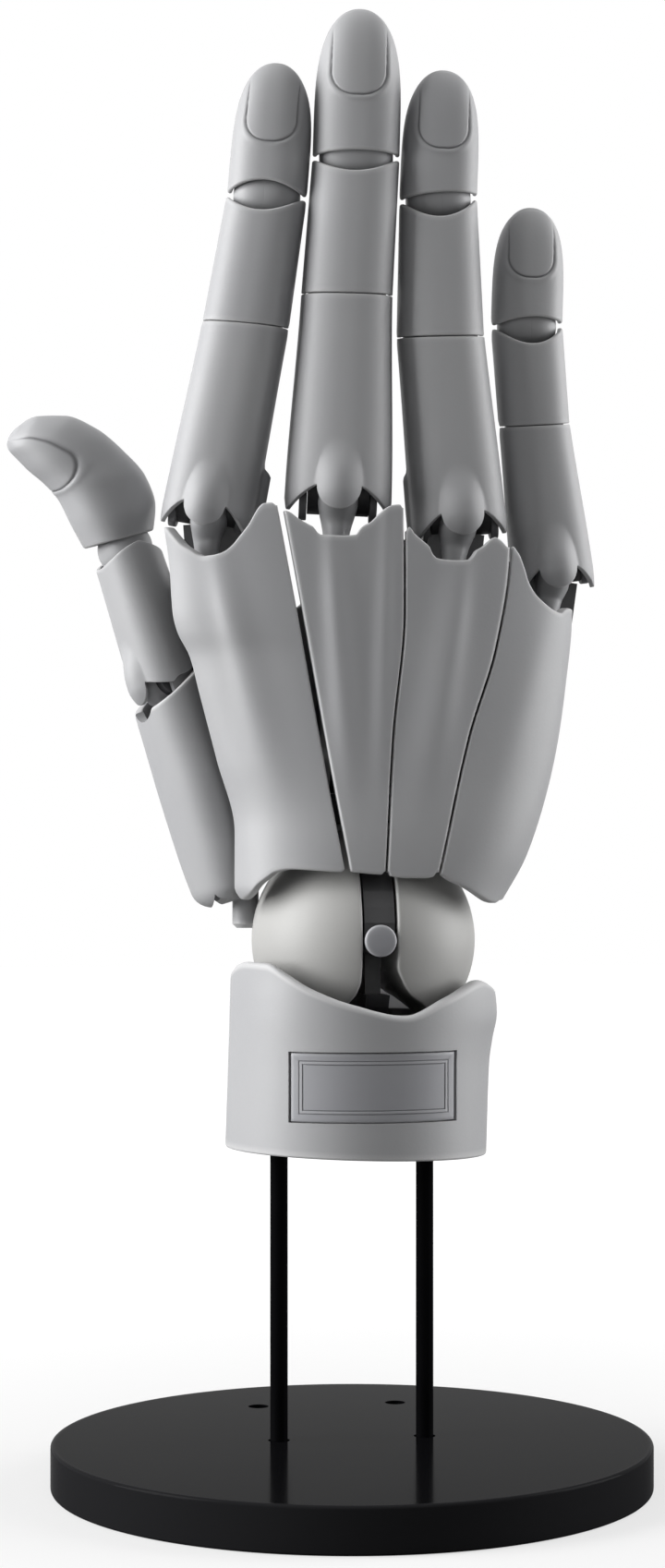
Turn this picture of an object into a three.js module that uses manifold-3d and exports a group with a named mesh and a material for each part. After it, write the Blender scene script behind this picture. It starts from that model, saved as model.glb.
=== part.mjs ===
// Artist's right hand of hollow moulded shells on a stand with two posts.
// Millimetres, +Z up, back of the hand towards -Y, thumb towards -X, origin under the base disc.
import * as THREE from 'three';
import { mergeVertices } from 'three/addons/utils/BufferGeometryUtils.js';
import Module from 'manifold-3d';

const wasm = await Module();
wasm.setup();

// Clearances
const seatGap = 0.3;
const turnGap = 0.35;
const seamGap = 0.4;
const indexSeamGap = 0.75;

// Stand
const discDiameter = 85.5;
const discThickness = 6.4;
const discBevel = 0.5;
const postDiameter = 2.5;
const postSpacing = 21;
const postTop = 60.6;
const postSocketDepth = 4.6;
const spareSocketOffset = 25.5;

// Cuff
const cuffBottom = 47.6;
const cuffBottomSlope = 0.029;
const cuffCentre = 0.65;
const cuffBoreGap = 1.1;
const cuffWall = 1.6;
const cuffLeftWall = [[47, 1.75], [74, 0.9]];
const cuffRightWall = [[47, 1.45], [60, 1.9], [63.5, 2.4], [67, 3.1], [70, 2.9], [72, 2.3]];
const cuffRim = [[-180, 72.5], [-140, 69.6], [-115, 71.5], [-90, 73.2], [-65, 74.4], [-42, 74.5],
  [-30, 71.6], [-10, 68.8], [13, 67.3], [34, 69.6], [60, 71.9], [72, 71.2], [88, 69.9], [110, 69.4],
  [140, 69.6], [180, 72.5]];
const plaqueLeft = -11;
const plaqueRight = 12.2;
const plaqueBottom = 52.7;
const plaqueTop = 62.4;
const plaqueDepth = 0.45;
const plaqueThickness = 0.5;
const blockTop = 67.2;

// Wrist ball
const ballCentre = [1.6, 0, 77.5];
const ballRadius = 15.9;
const cuffBoreRadius = ballRadius + cuffBoreGap;
const cuffHalfDepth = cuffBoreRadius + cuffWall;
const slotHalfWidth = 2.45;
const slotLeft = { side: -1, drop: 4.6, flare: 25 };
const slotRight = { side: 1, drop: 3.4, flare: 28 };
const pinRadius = 1.1;
const pinHeadRadius = 2.25;
const pinHeadHeight = 0.8;
const lugInnerEnd = 9;
const lugRadius = slotHalfWidth - turnGap;
const coreHalfWidth = 1.6;
const coreNeckHalfWidth = 1.1;
const coreNeckLength = 7.5;
const guideRadius = 18;
const guideHalfAngle = 13;

// Palm outline: left and right sides and depths against height
const palmLeft = [[83, -16.2], [84.8, -17.3], [92.9, -17.4], [102.7, -20.1], [112.2, -22.8], [117.1, -24.2],
  [120.6, -26.1], [123.2, -26.8], [129.6, -27.3], [135.6, -28.2]];
const palmRight = [[82.5, 20.9], [89.6, 24.9], [100.4, 28.4], [107.5, 29.9], [115, 31], [122.6, 31.9],
  [135, 32.2]];
const backDepth = [[83, 15.4], [90, 15.1], [100, 14], [112, 13], [125, 12.3], [140, 12]];
const palmDepth = [[84, 15], [92, 13.2], [104, 11.2], [120, 9.4], [135, 8.4]];
const palmPower = 2.5;
const palmWall = 1.3;
const backEdgeAngle = 82;
const seamIndexMiddle = [[86.9, -2.8], [105.4, -6], [124.4, -9.3], [138, -11.8]];
const seamMiddleRing = [[87, 2.5], [105.5, 3.7], [123.3, 5.55], [138, 5.6]];
const seamRingLittle = [[86.5, 9.9], [105.7, 14.5], [118.1, 18.6], [129.3, 20.7], [134, 21]];
const indexPalmEdge = [[104, -13.5], [112, -17], [118, -20], [124, -22.5], [131, -24.5]];
const palmShellDrop = 8.4;
const tendonHeight = 0.5;

// Metacarpal bones and their seat
const boneHalfWidth = 2.6;
const boneDrop = 8.7;
const boneFootRadius = 3.2;
const forkHalfGap = 2.2;
const tongueReach = 12;
const cheekOffset = 0.55;
const cheekWidth = 1.1;
const cheekReach = 4.1;
const framePlugHeight = 2.6;
const carpusThickness = 4;
const carpusGap = 0.6;
const carpusBottom = ballCentre[2] + ballRadius + carpusGap;
const carpusTop = carpusBottom + carpusThickness;
const boneFootHeight = carpusTop + seatGap + boneFootRadius;
const heelRise = 2.5;
const heelHeight = 16;
const heelTop = boneFootHeight + heelRise;
const heelBottom = heelTop - heelHeight;
const heelLeft = -10.5;

// Digits: joint positions as [x, z], base to tip, all at one y
const fingerWall = 1;
const sectionPower = 2.4;
const foldSlope = Math.tan(THREE.MathUtils.degToRad(46));
const rimGap = 0.15;
const endRimGap = 0.3;
const backRimDrop = 0.16;
const tipFullness = 4.2;
const domeRise = 0.9;
const palmLobe = 0.07;
const plugTopShare = 0.57;
const plugBottomShare = 0.78;
const digits = {
  index: {
    y: -1.5, roll: -12, joints: [[-20.4, 139], [-15.4, 164.2], [-12.4, 182.4], [-10.8, 201.1]],
    widths: [13, 12.1, 11.2], domeRadius: 2.9, lensUp: 1.7, lensDown: 2, hingeLeans: [6, 4],
    foot: -11.6, left: null, right: seamIndexMiddle, palmEdge: indexPalmEdge, spreads: true, fold: 0,
    linkLean: -4,
    top: [[-27.9, 134.6], [-25.9, 133], [-23.6, 131.4], [-19.8, 131], [-17, 133.4], [-14, 137.7],
      [-12.2, 138.2]],
    bottom: [[-17, 84.7], [-16, 83.2], [-14.1, 85.8], [-10.8, 87.3], [-3.3, 86.9]],
  },
  middle: {
    y: -3, roll: -7, joints: [[-2.4, 141.4], [-1.2, 168.6], [0.1, 187.9], [0.7, 208.8]],
    widths: [15.1, 12.9, 12.3], domeRadius: 3.1, lensUp: 0.5, lensDown: 1.8, hingeLeans: [1, 0],
    foot: -1, left: seamIndexMiddle, right: seamMiddleRing, spreads: false, fold: 0, linkLean: 3,
    top: [[-11.1, 137.1], [-9, 136], [-6.4, 134.4], [-3.4, 133.9], [-0.3, 134.5], [1.8, 136.7], [4, 138.2],
      [5.4, 137.9]],
    bottom: [[-2.8, 87], [2.2, 86.7]],
  },
  ring: {
    y: -2.5, roll: -4, joints: [[14.8, 138.4], [12.3, 163.2], [12, 182.7], [12.7, 200.9]],
    widths: [13.5, 12.4, 11], domeRadius: 3, lensUp: 0.5, lensDown: 2.3, hingeLeans: [-2, -4],
    foot: 8.3, left: seamMiddleRing, right: seamRingLittle, spreads: false, fold: 4, linkLean: 6,
    top: [[5.8, 135.4], [8.9, 133.8], [10.7, 131.2], [13.3, 130.8], [15.9, 131.2], [17.2, 132.7], [19, 134],
      [20.5, 133]],
    bottom: [[2.8, 86.4], [7.4, 86], [9.7, 86.6]],
  },
  little: {
    y: 0, roll: -2, joints: [[29.1, 130.6], [26.5, 151.5], [25.4, 165.7], [25.9, 182.6]],
    widths: [11.8, 10.1, 10.2], domeRadius: 2.7, lensUp: 1, lensDown: 2.2, hingeLeans: [-4, -2.6],
    foot: 20, left: seamRingLittle, right: null, spreads: true, fold: 8, linkLean: 8,
    top: [[21.4, 133.2], [23.4, 131.5], [24.1, 128.4], [25.8, 125.4], [28.9, 123.9], [31.6, 124.6]],
    bottom: [[10.1, 86.4], [13.7, 85], [19.6, 82.6]],
  },
};
const fingerDepthShare = 0.88;
const fingerRims = { cornerRim: -2.7, sideRim: -1, backRim: 4.8 };
const thumb = {
  y: 5, roll: -70, joints: [[-25.95, 114.75], [-32, 133.2]],
  widths: [11.5, 10.3], domeRadius: 2.6, topArch: 1,
  cornerRim: -0.9, sideRim: -0.2, backRim: 5.2,
};
const thumbEndLean = -21;
const thumbTipRows = [
  [-37.5, 133.1, -28.3, 135.9, 5.3], [-39.4, 136.3, -27.9, 139.6, 5.7], [-41.5, 140.2, -29.2, 143.6, 5.7],
  [-43.3, 142.2, -32.4, 147.2, 5.5], [-45.2, 143.9, -36.5, 149.9, 5.2], [-47, 145.7, -41, 151.4, 4.5],
  [-48.3, 147.2, -45, 151.2, 3.2], [-48.9, 148.3, -47.7, 149.9, 1.2],
];
const thumbShaftRadius = 1.6;
const thumbAxisGap = 0.2;
const thumbRootRise = 8.5;
const thumbRootReach = 2.7;
const thumbRootDrop = 6.7;
const thumbRootHeight = ballCentre[2] + thumbRootRise;
const thumbSwingAxis = [ballCentre[0] - ballRadius - thumbAxisGap, 7, thumbRootHeight];
const thumbRoot = [thumbSwingAxis[0] - thumbRootReach, 5, thumbRootHeight];
const eyeRadius = thumbShaftRadius + 1.5;
const thumbShellHalf = [[-3.6, 3.6], [-2.8, 5], [0, 6.4], [5, 7], [14, 7.2], [22, 6.8], [34, 6.4]];
const thumbShellBack = [[-3.6, 3], [-2.8, 4.4], [0, 5.2], [8, 5.4], [34, 5.5]];
const thumbShellPulp = [[-3.6, 3], [-2.8, 4.6], [0, 6], [8, 7.6], [18, 7.2], [34, 6.2]];
const thumbShellWall = 1.3;
const thumbCavityDepth = 14.5;
const thumbOpeningRise = 5.5;
const thumbRimFront = -7.35;
const thumbRimBack = 5.9;
const thumbRimRise = 4;

// Colours
const grey = new THREE.MeshStandardMaterial({ color: 0xa3a4a7, roughness: 0.62, metalness: 0 });
const paleGrey = new THREE.MeshStandardMaterial({ color: 0xb4b4b3, roughness: 0.6, metalness: 0 });
const darkGrey = new THREE.MeshStandardMaterial({ color: 0x2b2c2e, roughness: 0.6, metalness: 0 });
const gloss = new THREE.MeshStandardMaterial({ color: 0x0b0b0c, roughness: 0.12, metalness: 0 });

const radians = THREE.MathUtils.degToRad;
const lerp = THREE.MathUtils.lerp;

function lookUp(table, at) {
  const last = table.length - 1;
  if (at <= table[0][0]) return table[0][1];
  if (at >= table[last][0]) return table[last][1];
  const i = table.findIndex((row) => row[0] >= at);
  const [a, b] = [table[i - 1], table[i]];
  return lerp(a[1], b[1], (at - a[0]) / (b[0] - a[0]));
}

function smooth(t) {
  const s = THREE.MathUtils.clamp(t, 0, 1);
  return s * s * (3 - 2 * s);
}

// Closed solid from shared points and triangles, with its faces turned outwards
function solidFrom(points, triangles) {
  let volume = 0;
  for (const [a, b, c] of triangles) {
    const [p, q, r] = [points[a], points[b], points[c]];
    volume += p[0] * (q[1] * r[2] - q[2] * r[1]) + p[1] * (q[2] * r[0] - q[0] * r[2])
      + p[2] * (q[0] * r[1] - q[1] * r[0]);
  }
  const faces = volume < 0 ? triangles.map(([a, b, c]) => [a, c, b]) : triangles;
  const mesh = new wasm.Mesh({
    numProp: 3, vertProperties: new Float32Array(points.flat()), triVerts: new Uint32Array(faces.flat()),
  });
  return new wasm.Manifold(mesh);
}

function solidOf(geometry, matrix) {
  const bare = geometry.clone();
  bare.deleteAttribute('normal');
  bare.deleteAttribute('uv');
  if (matrix) bare.applyMatrix4(matrix);
  const merged = mergeVertices(bare, 1e-4);
  const mesh = new wasm.Mesh({
    numProp: 3,
    vertProperties: new Float32Array(merged.attributes.position.array),
    triVerts: new Uint32Array(merged.index.array),
  });
  return new wasm.Manifold(mesh);
}

function geometryOf(solid) {
  const mesh = solid.getMesh();
  const geometry = new THREE.BufferGeometry();
  geometry.setAttribute('position', new THREE.BufferAttribute(new Float32Array(mesh.vertProperties), 3));
  geometry.setIndex(new THREE.BufferAttribute(new Uint32Array(mesh.triVerts), 1));
  geometry.computeVertexNormals();
  return geometry;
}

// Rings of points, one above another; joined makes a hollow band, otherwise both ends are capped
function ringSolid(rings, joined = false) {
  const n = rings[0].length;
  const points = rings.flat();
  const triangles = [];
  const band = (a, b) => {
    for (let i = 0; i < n; i += 1) {
      const j = (i + 1) % n;
      triangles.push([a * n + i, a * n + j, b * n + j], [a * n + i, b * n + j, b * n + i]);
    }
  };
  for (let r = 0; r + 1 < rings.length; r += 1) band(r, r + 1);
  if (joined) {
    band(rings.length - 1, 0);
    return solidFrom(points, triangles);
  }
  for (const r of [0, rings.length - 1]) {
    const centre = [0, 1, 2].map((k) => rings[r].reduce((sum, p) => sum + p[k], 0) / n);
    const c = points.push(centre) - 1;
    for (let i = 0; i < n; i += 1) {
      const j = (i + 1) % n;
      triangles.push(r === 0 ? [c, r * n + j, r * n + i] : [c, r * n + i, r * n + j]);
    }
  }
  return solidFrom(points, triangles);
}

// Curved plate between an outer and an inner surface, each a function of two shares
function plateSolid(outer, inner, across, up) {
  const points = [];
  const triangles = [];
  const grid = (surface) => {
    const start = points.length;
    for (const v of up) for (const u of across) points.push(surface(u, v));
    return (i, j) => start + j * across.length + i;
  };
  const a = grid(outer);
  const b = grid(inner);
  const quad = (p, q, r, s) => triangles.push([p, q, r], [p, r, s]);
  for (let j = 0; j + 1 < up.length; j += 1) {
    for (let i = 0; i + 1 < across.length; i += 1) {
      quad(a(i, j), a(i + 1, j), a(i + 1, j + 1), a(i, j + 1));
      quad(b(i, j), b(i, j + 1), b(i + 1, j + 1), b(i + 1, j));
    }
  }
  const [lastI, lastJ] = [across.length - 1, up.length - 1];
  for (let i = 0; i < lastI; i += 1) {
    quad(a(i, 0), b(i, 0), b(i + 1, 0), a(i + 1, 0));
    quad(a(i, lastJ), a(i + 1, lastJ), b(i + 1, lastJ), b(i, lastJ));
  }
  for (let j = 0; j < lastJ; j += 1) {
    quad(a(0, j), a(0, j + 1), b(0, j + 1), b(0, j));
    quad(a(lastI, j), b(lastI, j), b(lastI, j + 1), a(lastI, j + 1));
  }
  return solidFrom(points, triangles);
}

function steps(count) {
  return Array.from({ length: count + 1 }, (_, i) => i / count);
}

function box(low, high, matrix) {
  const size = high.map((value, k) => value - low[k]);
  const geometry = new THREE.BoxGeometry(...size);
  geometry.translate(...low.map((value, k) => value + size[k] / 2));
  return solidOf(geometry, matrix);
}

// Cylinder along an axis from one end to the other, centred on the other two coordinates of at
function rod(axis, at, from, to, radius, sides = 16, matrix = null) {
  const geometry = new THREE.CylinderGeometry(radius, radius, to - from, sides);
  const middle = (from + to) / 2;
  if (axis === 'x') geometry.rotateZ(Math.PI / 2).translate(middle, at[1], at[2]);
  if (axis === 'y') geometry.translate(at[0], middle, at[2]);
  if (axis === 'z') geometry.rotateX(Math.PI / 2).translate(at[0], at[1], middle);
  return solidOf(geometry, matrix);
}

function union(...solids) {
  return solids.reduce((all, solid) => all.add(solid));
}

// Point of a rounded section: angle 0 faces the back of the hand, 90 degrees the right
function sectionPoint(halfWidth, halfDepth, angle, power = sectionPower) {
  const s = Math.sin(angle);
  const c = Math.cos(angle);
  const reach = (Math.abs(s / halfWidth) ** power + Math.abs(c / halfDepth) ** power) ** (-1 / power);
  return [reach * s, -reach * c];
}

function angleAtWidth(x, halfWidth, halfDepth) {
  let [low, high] = [0, Math.PI / 2];
  for (let i = 0; i < 40; i += 1) {
    const middle = (low + high) / 2;
    if (sectionPoint(halfWidth, halfDepth, middle)[0] < x) low = middle;
    else high = middle;
  }
  return low;
}

function evenAngles(count) {
  return Array.from({ length: count }, (_, i) => (2 * Math.PI * i) / count);
}

// Local frame of one phalanx: origin at its lower joint, Z to the next joint, -Y to its back
function placeAt(position, lean, roll) {
  const turn = new THREE.Quaternion().setFromAxisAngle(new THREE.Vector3(0, 1, 0), lean)
    .multiply(new THREE.Quaternion().setFromAxisAngle(new THREE.Vector3(0, 0, 1), radians(roll)));
  return new THREE.Matrix4().compose(new THREE.Vector3(...position), turn, new THREE.Vector3(1, 1, 1));
}

function leanBetween(a, b) {
  return Math.atan2(b[0] - a[0], b[1] - a[1]);
}

const hand = new THREE.Group();
hand.name = 'artist_hand';

function addPart(name, solid, material, matrix = null) {
  const mesh = new THREE.Mesh(geometryOf(solid), material);
  mesh.name = name;
  const holder = new THREE.Group();
  if (matrix) holder.applyMatrix4(matrix);
  holder.add(mesh);
  hand.add(holder);
}

// Marks a joint: an empty group whose place and X axis are the hinge
function addJoint(name, matrix) {
  const joint = new THREE.Group();
  joint.name = name;
  joint.applyMatrix4(matrix);
  hand.add(joint);
}

// Stand
function makeStand() {
  const r = discDiameter / 2;
  const t = discThickness;
  const b = discBevel;
  const profile = [[0, 0], [r - b, 0], [r, b], [r, t - b], [r - b, t], [0, t]];
  const lathe = new THREE.LatheGeometry(profile.map(([x, y]) => new THREE.Vector2(x, y)), 40);
  let disc = solidOf(lathe.rotateX(Math.PI / 2));
  const socketFloor = t - postSocketDepth;
  const boreRadius = postDiameter / 2 + seatGap;
  for (const x of [-postSpacing / 2, postSpacing / 2]) {
    for (const y of [0, spareSocketOffset]) {
      disc = disc.subtract(rod('z', [x, y], socketFloor, t + 1, boreRadius, 12));
    }
  }
  addPart('base_disc', disc, gloss);
  for (const [name, x] of [['post_left', -postSpacing / 2], ['post_right', postSpacing / 2]]) {
    addPart(name, rod('z', [x, 0], socketFloor + seatGap, postTop, postDiameter / 2, 12), gloss);
  }
}

// Cuff
function cuffPoint(angle, z, inset) {
  const wall = lookUp(Math.sin(angle) < 0 ? cuffLeftWall : cuffRightWall, z);
  const halfWidth = cuffBoreRadius + wall - inset;
  const [x, y] = sectionPoint(halfWidth, cuffHalfDepth - inset, angle, 2);
  return [x + cuffCentre, y, z];
}

function borePoint(angle, z, inset) {
  const radius = cuffBoreRadius - inset;
  return [cuffCentre + radius * Math.sin(angle), -radius * Math.cos(angle), z];
}

function cuffPatch(left, right, bottom, top, nearInset, farInset) {
  const angleOf = (x) => Math.asin((x - cuffCentre) / cuffHalfDepth);
  const surface = (inset) => (u, v) => (
    cuffPoint(lerp(angleOf(left), angleOf(right), u), lerp(bottom, top, v), inset)
  );
  return plateSolid(surface(nearInset), surface(farInset), steps(8), steps(1));
}

function makeCuff() {
  const angles = Array.from({ length: 36 }, (_, i) => radians(-180 + i * 10));
  const rimHeight = (angle) => lookUp(cuffRim, THREE.MathUtils.radToDeg(angle));
  const floorHeight = (angle) => cuffBottom - cuffBottomSlope * cuffHalfDepth * Math.sin(angle);
  const heightAt = (angle, t) => lerp(floorHeight(angle), rimHeight(angle), t);
  const band = (t, point) => angles.map((angle) => point(angle, heightAt(angle, t), 0));
  const outside = steps(3).map((t) => band(t, cuffPoint));
  const inside = [1, 0].map((t) => band(t, borePoint));
  let shell = ringSolid([...outside, ...inside], true);
  const recess = plaqueDepth + plaqueThickness + seatGap;
  shell = shell.subtract(cuffPatch(plaqueLeft, plaqueRight, plaqueBottom, plaqueTop, -1, recess));
  addPart('cuff_shell', shell, grey);
  const plaque = cuffPatch(plaqueLeft + seatGap, plaqueRight - seatGap, plaqueBottom + seatGap,
    plaqueTop - seatGap, plaqueDepth, plaqueDepth + plaqueThickness);
  addPart('plaque', plaque, grey);

  const blockFloor = cuffBottom + 2 * seatGap + cuffBottomSlope * cuffHalfDepth;
  const blockRings = [blockFloor, blockTop].map((z) => angles.map((angle) => borePoint(angle, z, seatGap)));
  const seat = new THREE.SphereGeometry(ballRadius + seatGap, 24, 16).rotateX(Math.PI / 2);
  seat.translate(...ballCentre);
  const grooveX = [ballCentre[0] - slotHalfWidth, ballCentre[0] + slotHalfWidth];
  let block = ringSolid(blockRings).subtract(solidOf(seat))
    .subtract(rod('x', ballCentre, grooveX[0], grooveX[1], guideRadius + turnGap, 40));
  for (const x of [-postSpacing / 2, postSpacing / 2]) {
    const bore = rod('z', [x, 0], cuffBottom - 1, postTop + seatGap, postDiameter / 2 + seatGap, 12);
    block = block.subtract(bore);
  }
  addPart('socket_block', block, darkGrey);
}

// Slot of the ball, open upwards with straight sides and flared below the pin
function ballSlot() {
  const far = 20;
  const edge = ({ side, drop, flare }) => {
    const end = side * (slotHalfWidth + (far - drop) * Math.tan(radians(flare)));
    return [[side * slotHalfWidth, far], [side * slotHalfWidth, -drop], [end, -far]];
  };
  const outline = [...edge(slotLeft), ...edge(slotRight).reverse()];
  const shape = new THREE.Shape(outline.map(([x, z]) => new THREE.Vector2(x, z)));
  const slot = new THREE.ExtrudeGeometry(shape, { depth: 2 * far, bevelEnabled: false });
  slot.rotateX(Math.PI / 2).translate(ballCentre[0], far, ballCentre[2]);
  return solidOf(slot);
}

function makeWrist() {
  const [cx, , cz] = ballCentre;
  const far = 2 * ballRadius;
  const ball = new THREE.SphereGeometry(ballRadius, 24, 16).rotateX(Math.PI / 2).translate(...ballCentre);
  const halves = solidOf(ball).subtract(ballSlot());
  addPart('ball_left', halves.intersect(box([cx - far, -far, cz - far], [cx, far, cz + far])), paleGrey);
  addPart('ball_right', halves.intersect(box([cx, -far, cz - far], [cx + far, far, cz + far])), paleGrey);

  const pinHole = rod('y', ballCentre, -far, far, pinRadius + seatGap, 16);
  const wheelRadius = ballRadius - seatGap;
  const coreX = [cx - coreHalfWidth, cx + coreHalfWidth];
  const lower = rod('x', ballCentre, coreX[0], coreX[1], wheelRadius, 40)
    .subtract(box([cx - far, -far, cz - coreNeckLength], [cx + far, far, cz + far]));
  const guideHalfWidth = guideRadius * Math.sin(radians(guideHalfAngle));
  const guide = rod('x', ballCentre, coreX[0], coreX[1], guideRadius, 40)
    .intersect(box([cx - far, -guideHalfWidth, cz - far], [cx + far, guideHalfWidth, cz - ballRadius / 2]));
  const hubEnd = lugInnerEnd - turnGap;
  const hub = rod('y', ballCentre, -hubEnd, hubEnd, lugRadius, 20);
  const neckBottom = cz - coreNeckLength - 1;
  const neck = box([cx - coreNeckHalfWidth, -hubEnd, neckBottom], [cx + coreNeckHalfWidth, hubEnd, cz]);
  addPart('wrist_core', union(lower, guide, hub, neck).subtract(pinHole), darkGrey);

  const discX = [cx - lugRadius, cx + lugRadius];
  const upper = rod('x', ballCentre, discX[0], discX[1], wheelRadius, 40)
    .subtract(box([cx - far, -far, cz - far], [cx + far, far, cz + lugRadius + turnGap]));
  const lugEnd = ballRadius - pinHeadHeight - seatGap;
  const lugs = [[-lugEnd, -lugInnerEnd], [lugInnerEnd, lugEnd]].map(([from, to]) => (
    union(rod('y', ballCentre, from, to, lugRadius, 20), box([discX[0], from, cz], [discX[1], to, cz + 4]))
  ));
  const insideBall = rod('x', ballCentre, discX[0] - 1, discX[1] + 1, lugEnd + 0.3, 40);
  const lugsInBall = union(...lugs).intersect(insideBall);
  const [swingX, swingY] = thumbSwingAxis;
  const mainLeft = digits.index.foot + boneHalfWidth;
  const mainRight = digits.little.foot + boneHalfWidth;
  const main = box([mainLeft - 1, -5, carpusBottom], [mainRight, 4.5, carpusTop]);
  const wing = box([digits.index.foot - boneHalfWidth, -6, carpusBottom], [mainLeft, 0.5, carpusTop]);
  const arm = box([swingX, swingY - 2, carpusBottom], [mainLeft, swingY + 1.5, carpusTop]);
  const rib = box([mainLeft - 1, 0, carpusBottom], [mainLeft + 2, swingY + 1.5, carpusTop]);
  const eye = rod('z', thumbSwingAxis, carpusBottom, carpusTop, eyeRadius, 14);
  const web = box([discX[0], -6, cz + ballRadius / 2], [discX[1], 6, carpusBottom + 1]);
  const frameSolid = union(upper.intersect(insideBall), lugsInBall, web, main, wing, arm, rib, eye)
    .subtract(pinHole)
    .subtract(rod('z', thumbSwingAxis, carpusBottom - 1, carpusTop + 1, thumbShaftRadius + turnGap, 14));
  addPart('palm_frame', frameSolid, darkGrey);

  const pinFront = ballRadius - pinHeadHeight;
  const pin = union(rod('y', ballCentre, -ballRadius, lugEnd, pinRadius, 14),
    rod('y', ballCentre, -ballRadius - 0.1, -pinFront, pinHeadRadius, 20));
  addPart('wrist_pin', pin, grey);
  addJoint('wrist_flex', placeAt(ballCentre, 0, 0));
  addJoint('wrist_tilt', placeAt(ballCentre, 0, 90));
}

// Outer surface of the palm; side is 1 on the palm side and -1 on the back
function palmPoint(side, angle, z, inset, ridge = 0) {
  const left = lookUp(palmLeft, z);
  const right = lookUp(palmRight, z);
  const depth = lookUp(side < 0 ? backDepth : palmDepth, z) - inset + ridge;
  const [x, y] = sectionPoint((right - left) / 2 - inset, depth, angle, palmPower);
  return [x + (left + right) / 2, -side * y, z];
}

function palmAngle(side, x, z, inset = 0) {
  const left = lookUp(palmLeft, z);
  const right = lookUp(palmRight, z);
  const halfWidth = (right - left) / 2 - inset;
  const share = THREE.MathUtils.clamp((x - (left + right) / 2) / halfWidth, -1, 1);
  const drop = (1 - Math.abs(share) ** palmPower) ** (1 / palmPower);
  const depth = lookUp(side < 0 ? backDepth : palmDepth, z) - inset;
  return Math.atan2(share * halfWidth, depth * drop);
}

// Height of the tendon that runs from the knuckle to the wrist
function tendonRise(digit, x, z) {
  const [knuckleX, knuckleZ] = digit.joints[0];
  const share = (z - boneFootHeight) / (knuckleZ - boneFootHeight);
  const line = lerp(digit.foot, knuckleX, share);
  const width = 2.4;
  return tendonHeight * smooth(share + 0.1) * Math.exp(-(((x - line) / width) ** 2));
}

// Angle of a shell's edge; at a seam the cut runs straight from front to back
function edgeAngle(seam, side, z, gapSide, inset) {
  if (!seam) return radians(gapSide * -backEdgeAngle);
  const gap = seam === seamIndexMiddle ? indexSeamGap : seamGap;
  return palmAngle(side, lookUp(seam, z) + (gapSide * gap) / 2, z, inset);
}

// Back shell of one metacarpal between two insets, from seam to seam, notched round the knuckle
function backShell(digit, near, far) {
  const first = digit.top[0][0];
  const last = digit.top[digit.top.length - 1][0];
  const across = digit.top.map(([x]) => (x - first) / (last - first));
  const bottomFirst = digit.bottom[0][0];
  const bottomLast = digit.bottom[digit.bottom.length - 1][0];
  const surface = (inset) => (u, v) => {
    const low = lookUp(digit.bottom, lerp(bottomFirst, bottomLast, u));
    const high = lookUp(digit.top, lerp(first, last, u));
    const z = lerp(low, high, v);
    const angle = lerp(edgeAngle(digit.left, -1, z, 1, inset), edgeAngle(digit.right, -1, z, -1, inset), u);
    const [x] = palmPoint(-1, angle, z, 0);
    return palmPoint(-1, angle, z, inset, tendonRise(digit, x, z));
  };
  return plateSolid(surface(near), surface(far), across, steps(5));
}

// Palm shell of one metacarpal; its lower edge leaves room for the fold of the palm
function palmShell(digit, near, far) {
  const high = digit.joints[0][1] - palmShellDrop;
  const low = heelTop + seamGap + lookUp(palmDepth, heelTop) * Math.sin(radians(digit.fold));
  const surface = (inset) => (u, v) => {
    const z = lerp(low, high, v);
    const leftEdge = digit.palmEdge ?? digit.left;
    const angle = lerp(edgeAngle(leftEdge, 1, z, 1, inset), edgeAngle(digit.right, 1, z, -1, inset), u);
    return palmPoint(1, angle, z, inset);
  };
  return plateSolid(surface(near), surface(far), steps(4), steps(3));
}

function fingerLeans(digit) {
  return digit.joints.slice(1).map((joint, i) => leanBetween(digit.joints[i], joint));
}

function jointFrame(digit, i, lean) {
  const [x, z] = digit.joints[i];
  return placeAt([x, digit.y, z], lean, digit.roll);
}

// Bone between the back shell and the palm shell, with a round foot and a fork at the top
function boneSolid(digit) {
  const [knuckleX, knuckleZ] = digit.joints[0];
  const top = knuckleZ - boneDrop;
  const shortBack = 0.5;
  const thumbSideTop = 118;
  const heights = [boneFootHeight, boneFootHeight + 5, lerp(boneFootHeight, top, 0.6), top];
  const rings = heights.map((z, i) => {
    const x = lerp(digit.foot, knuckleX, (z - boneFootHeight) / (knuckleZ - boneFootHeight));
    const depthAt = (side) => Math.abs(palmPoint(side, palmAngle(side, x, z), z, palmWall)[1]);
    const behind = digit.palmEdge && z < thumbSideTop ? shortBack : depthAt(1) - (i === 1 ? 1.2 : 0);
    const front = i === 0 ? boneFootRadius : depthAt(-1);
    const back = i === 0 ? Math.min(boneFootRadius, behind) : behind;
    const [low, high] = [x - boneHalfWidth, x + boneHalfWidth];
    return [[low, -front, z], [high, -front, z], [high, back, z], [low, back, z]];
  });
  const foot = rod('x', [digit.foot, 0, boneFootHeight], digit.foot - boneHalfWidth,
    digit.foot + boneHalfWidth, boneFootRadius, 16);
  const linkFrame = jointFrame(digit, 0, radians(digit.linkLean));
  const fork = box([-8, -forkHalfGap, -tongueReach - 4], [8, forkHalfGap, 0], linkFrame);
  const beyond = -6;
  return union(ringSolid(rings), foot).subtract(fork)
    .subtract(backShell(digit, beyond, palmWall + seatGap))
    .subtract(palmShell(digit, beyond, palmWall + seatGap));
}

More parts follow.
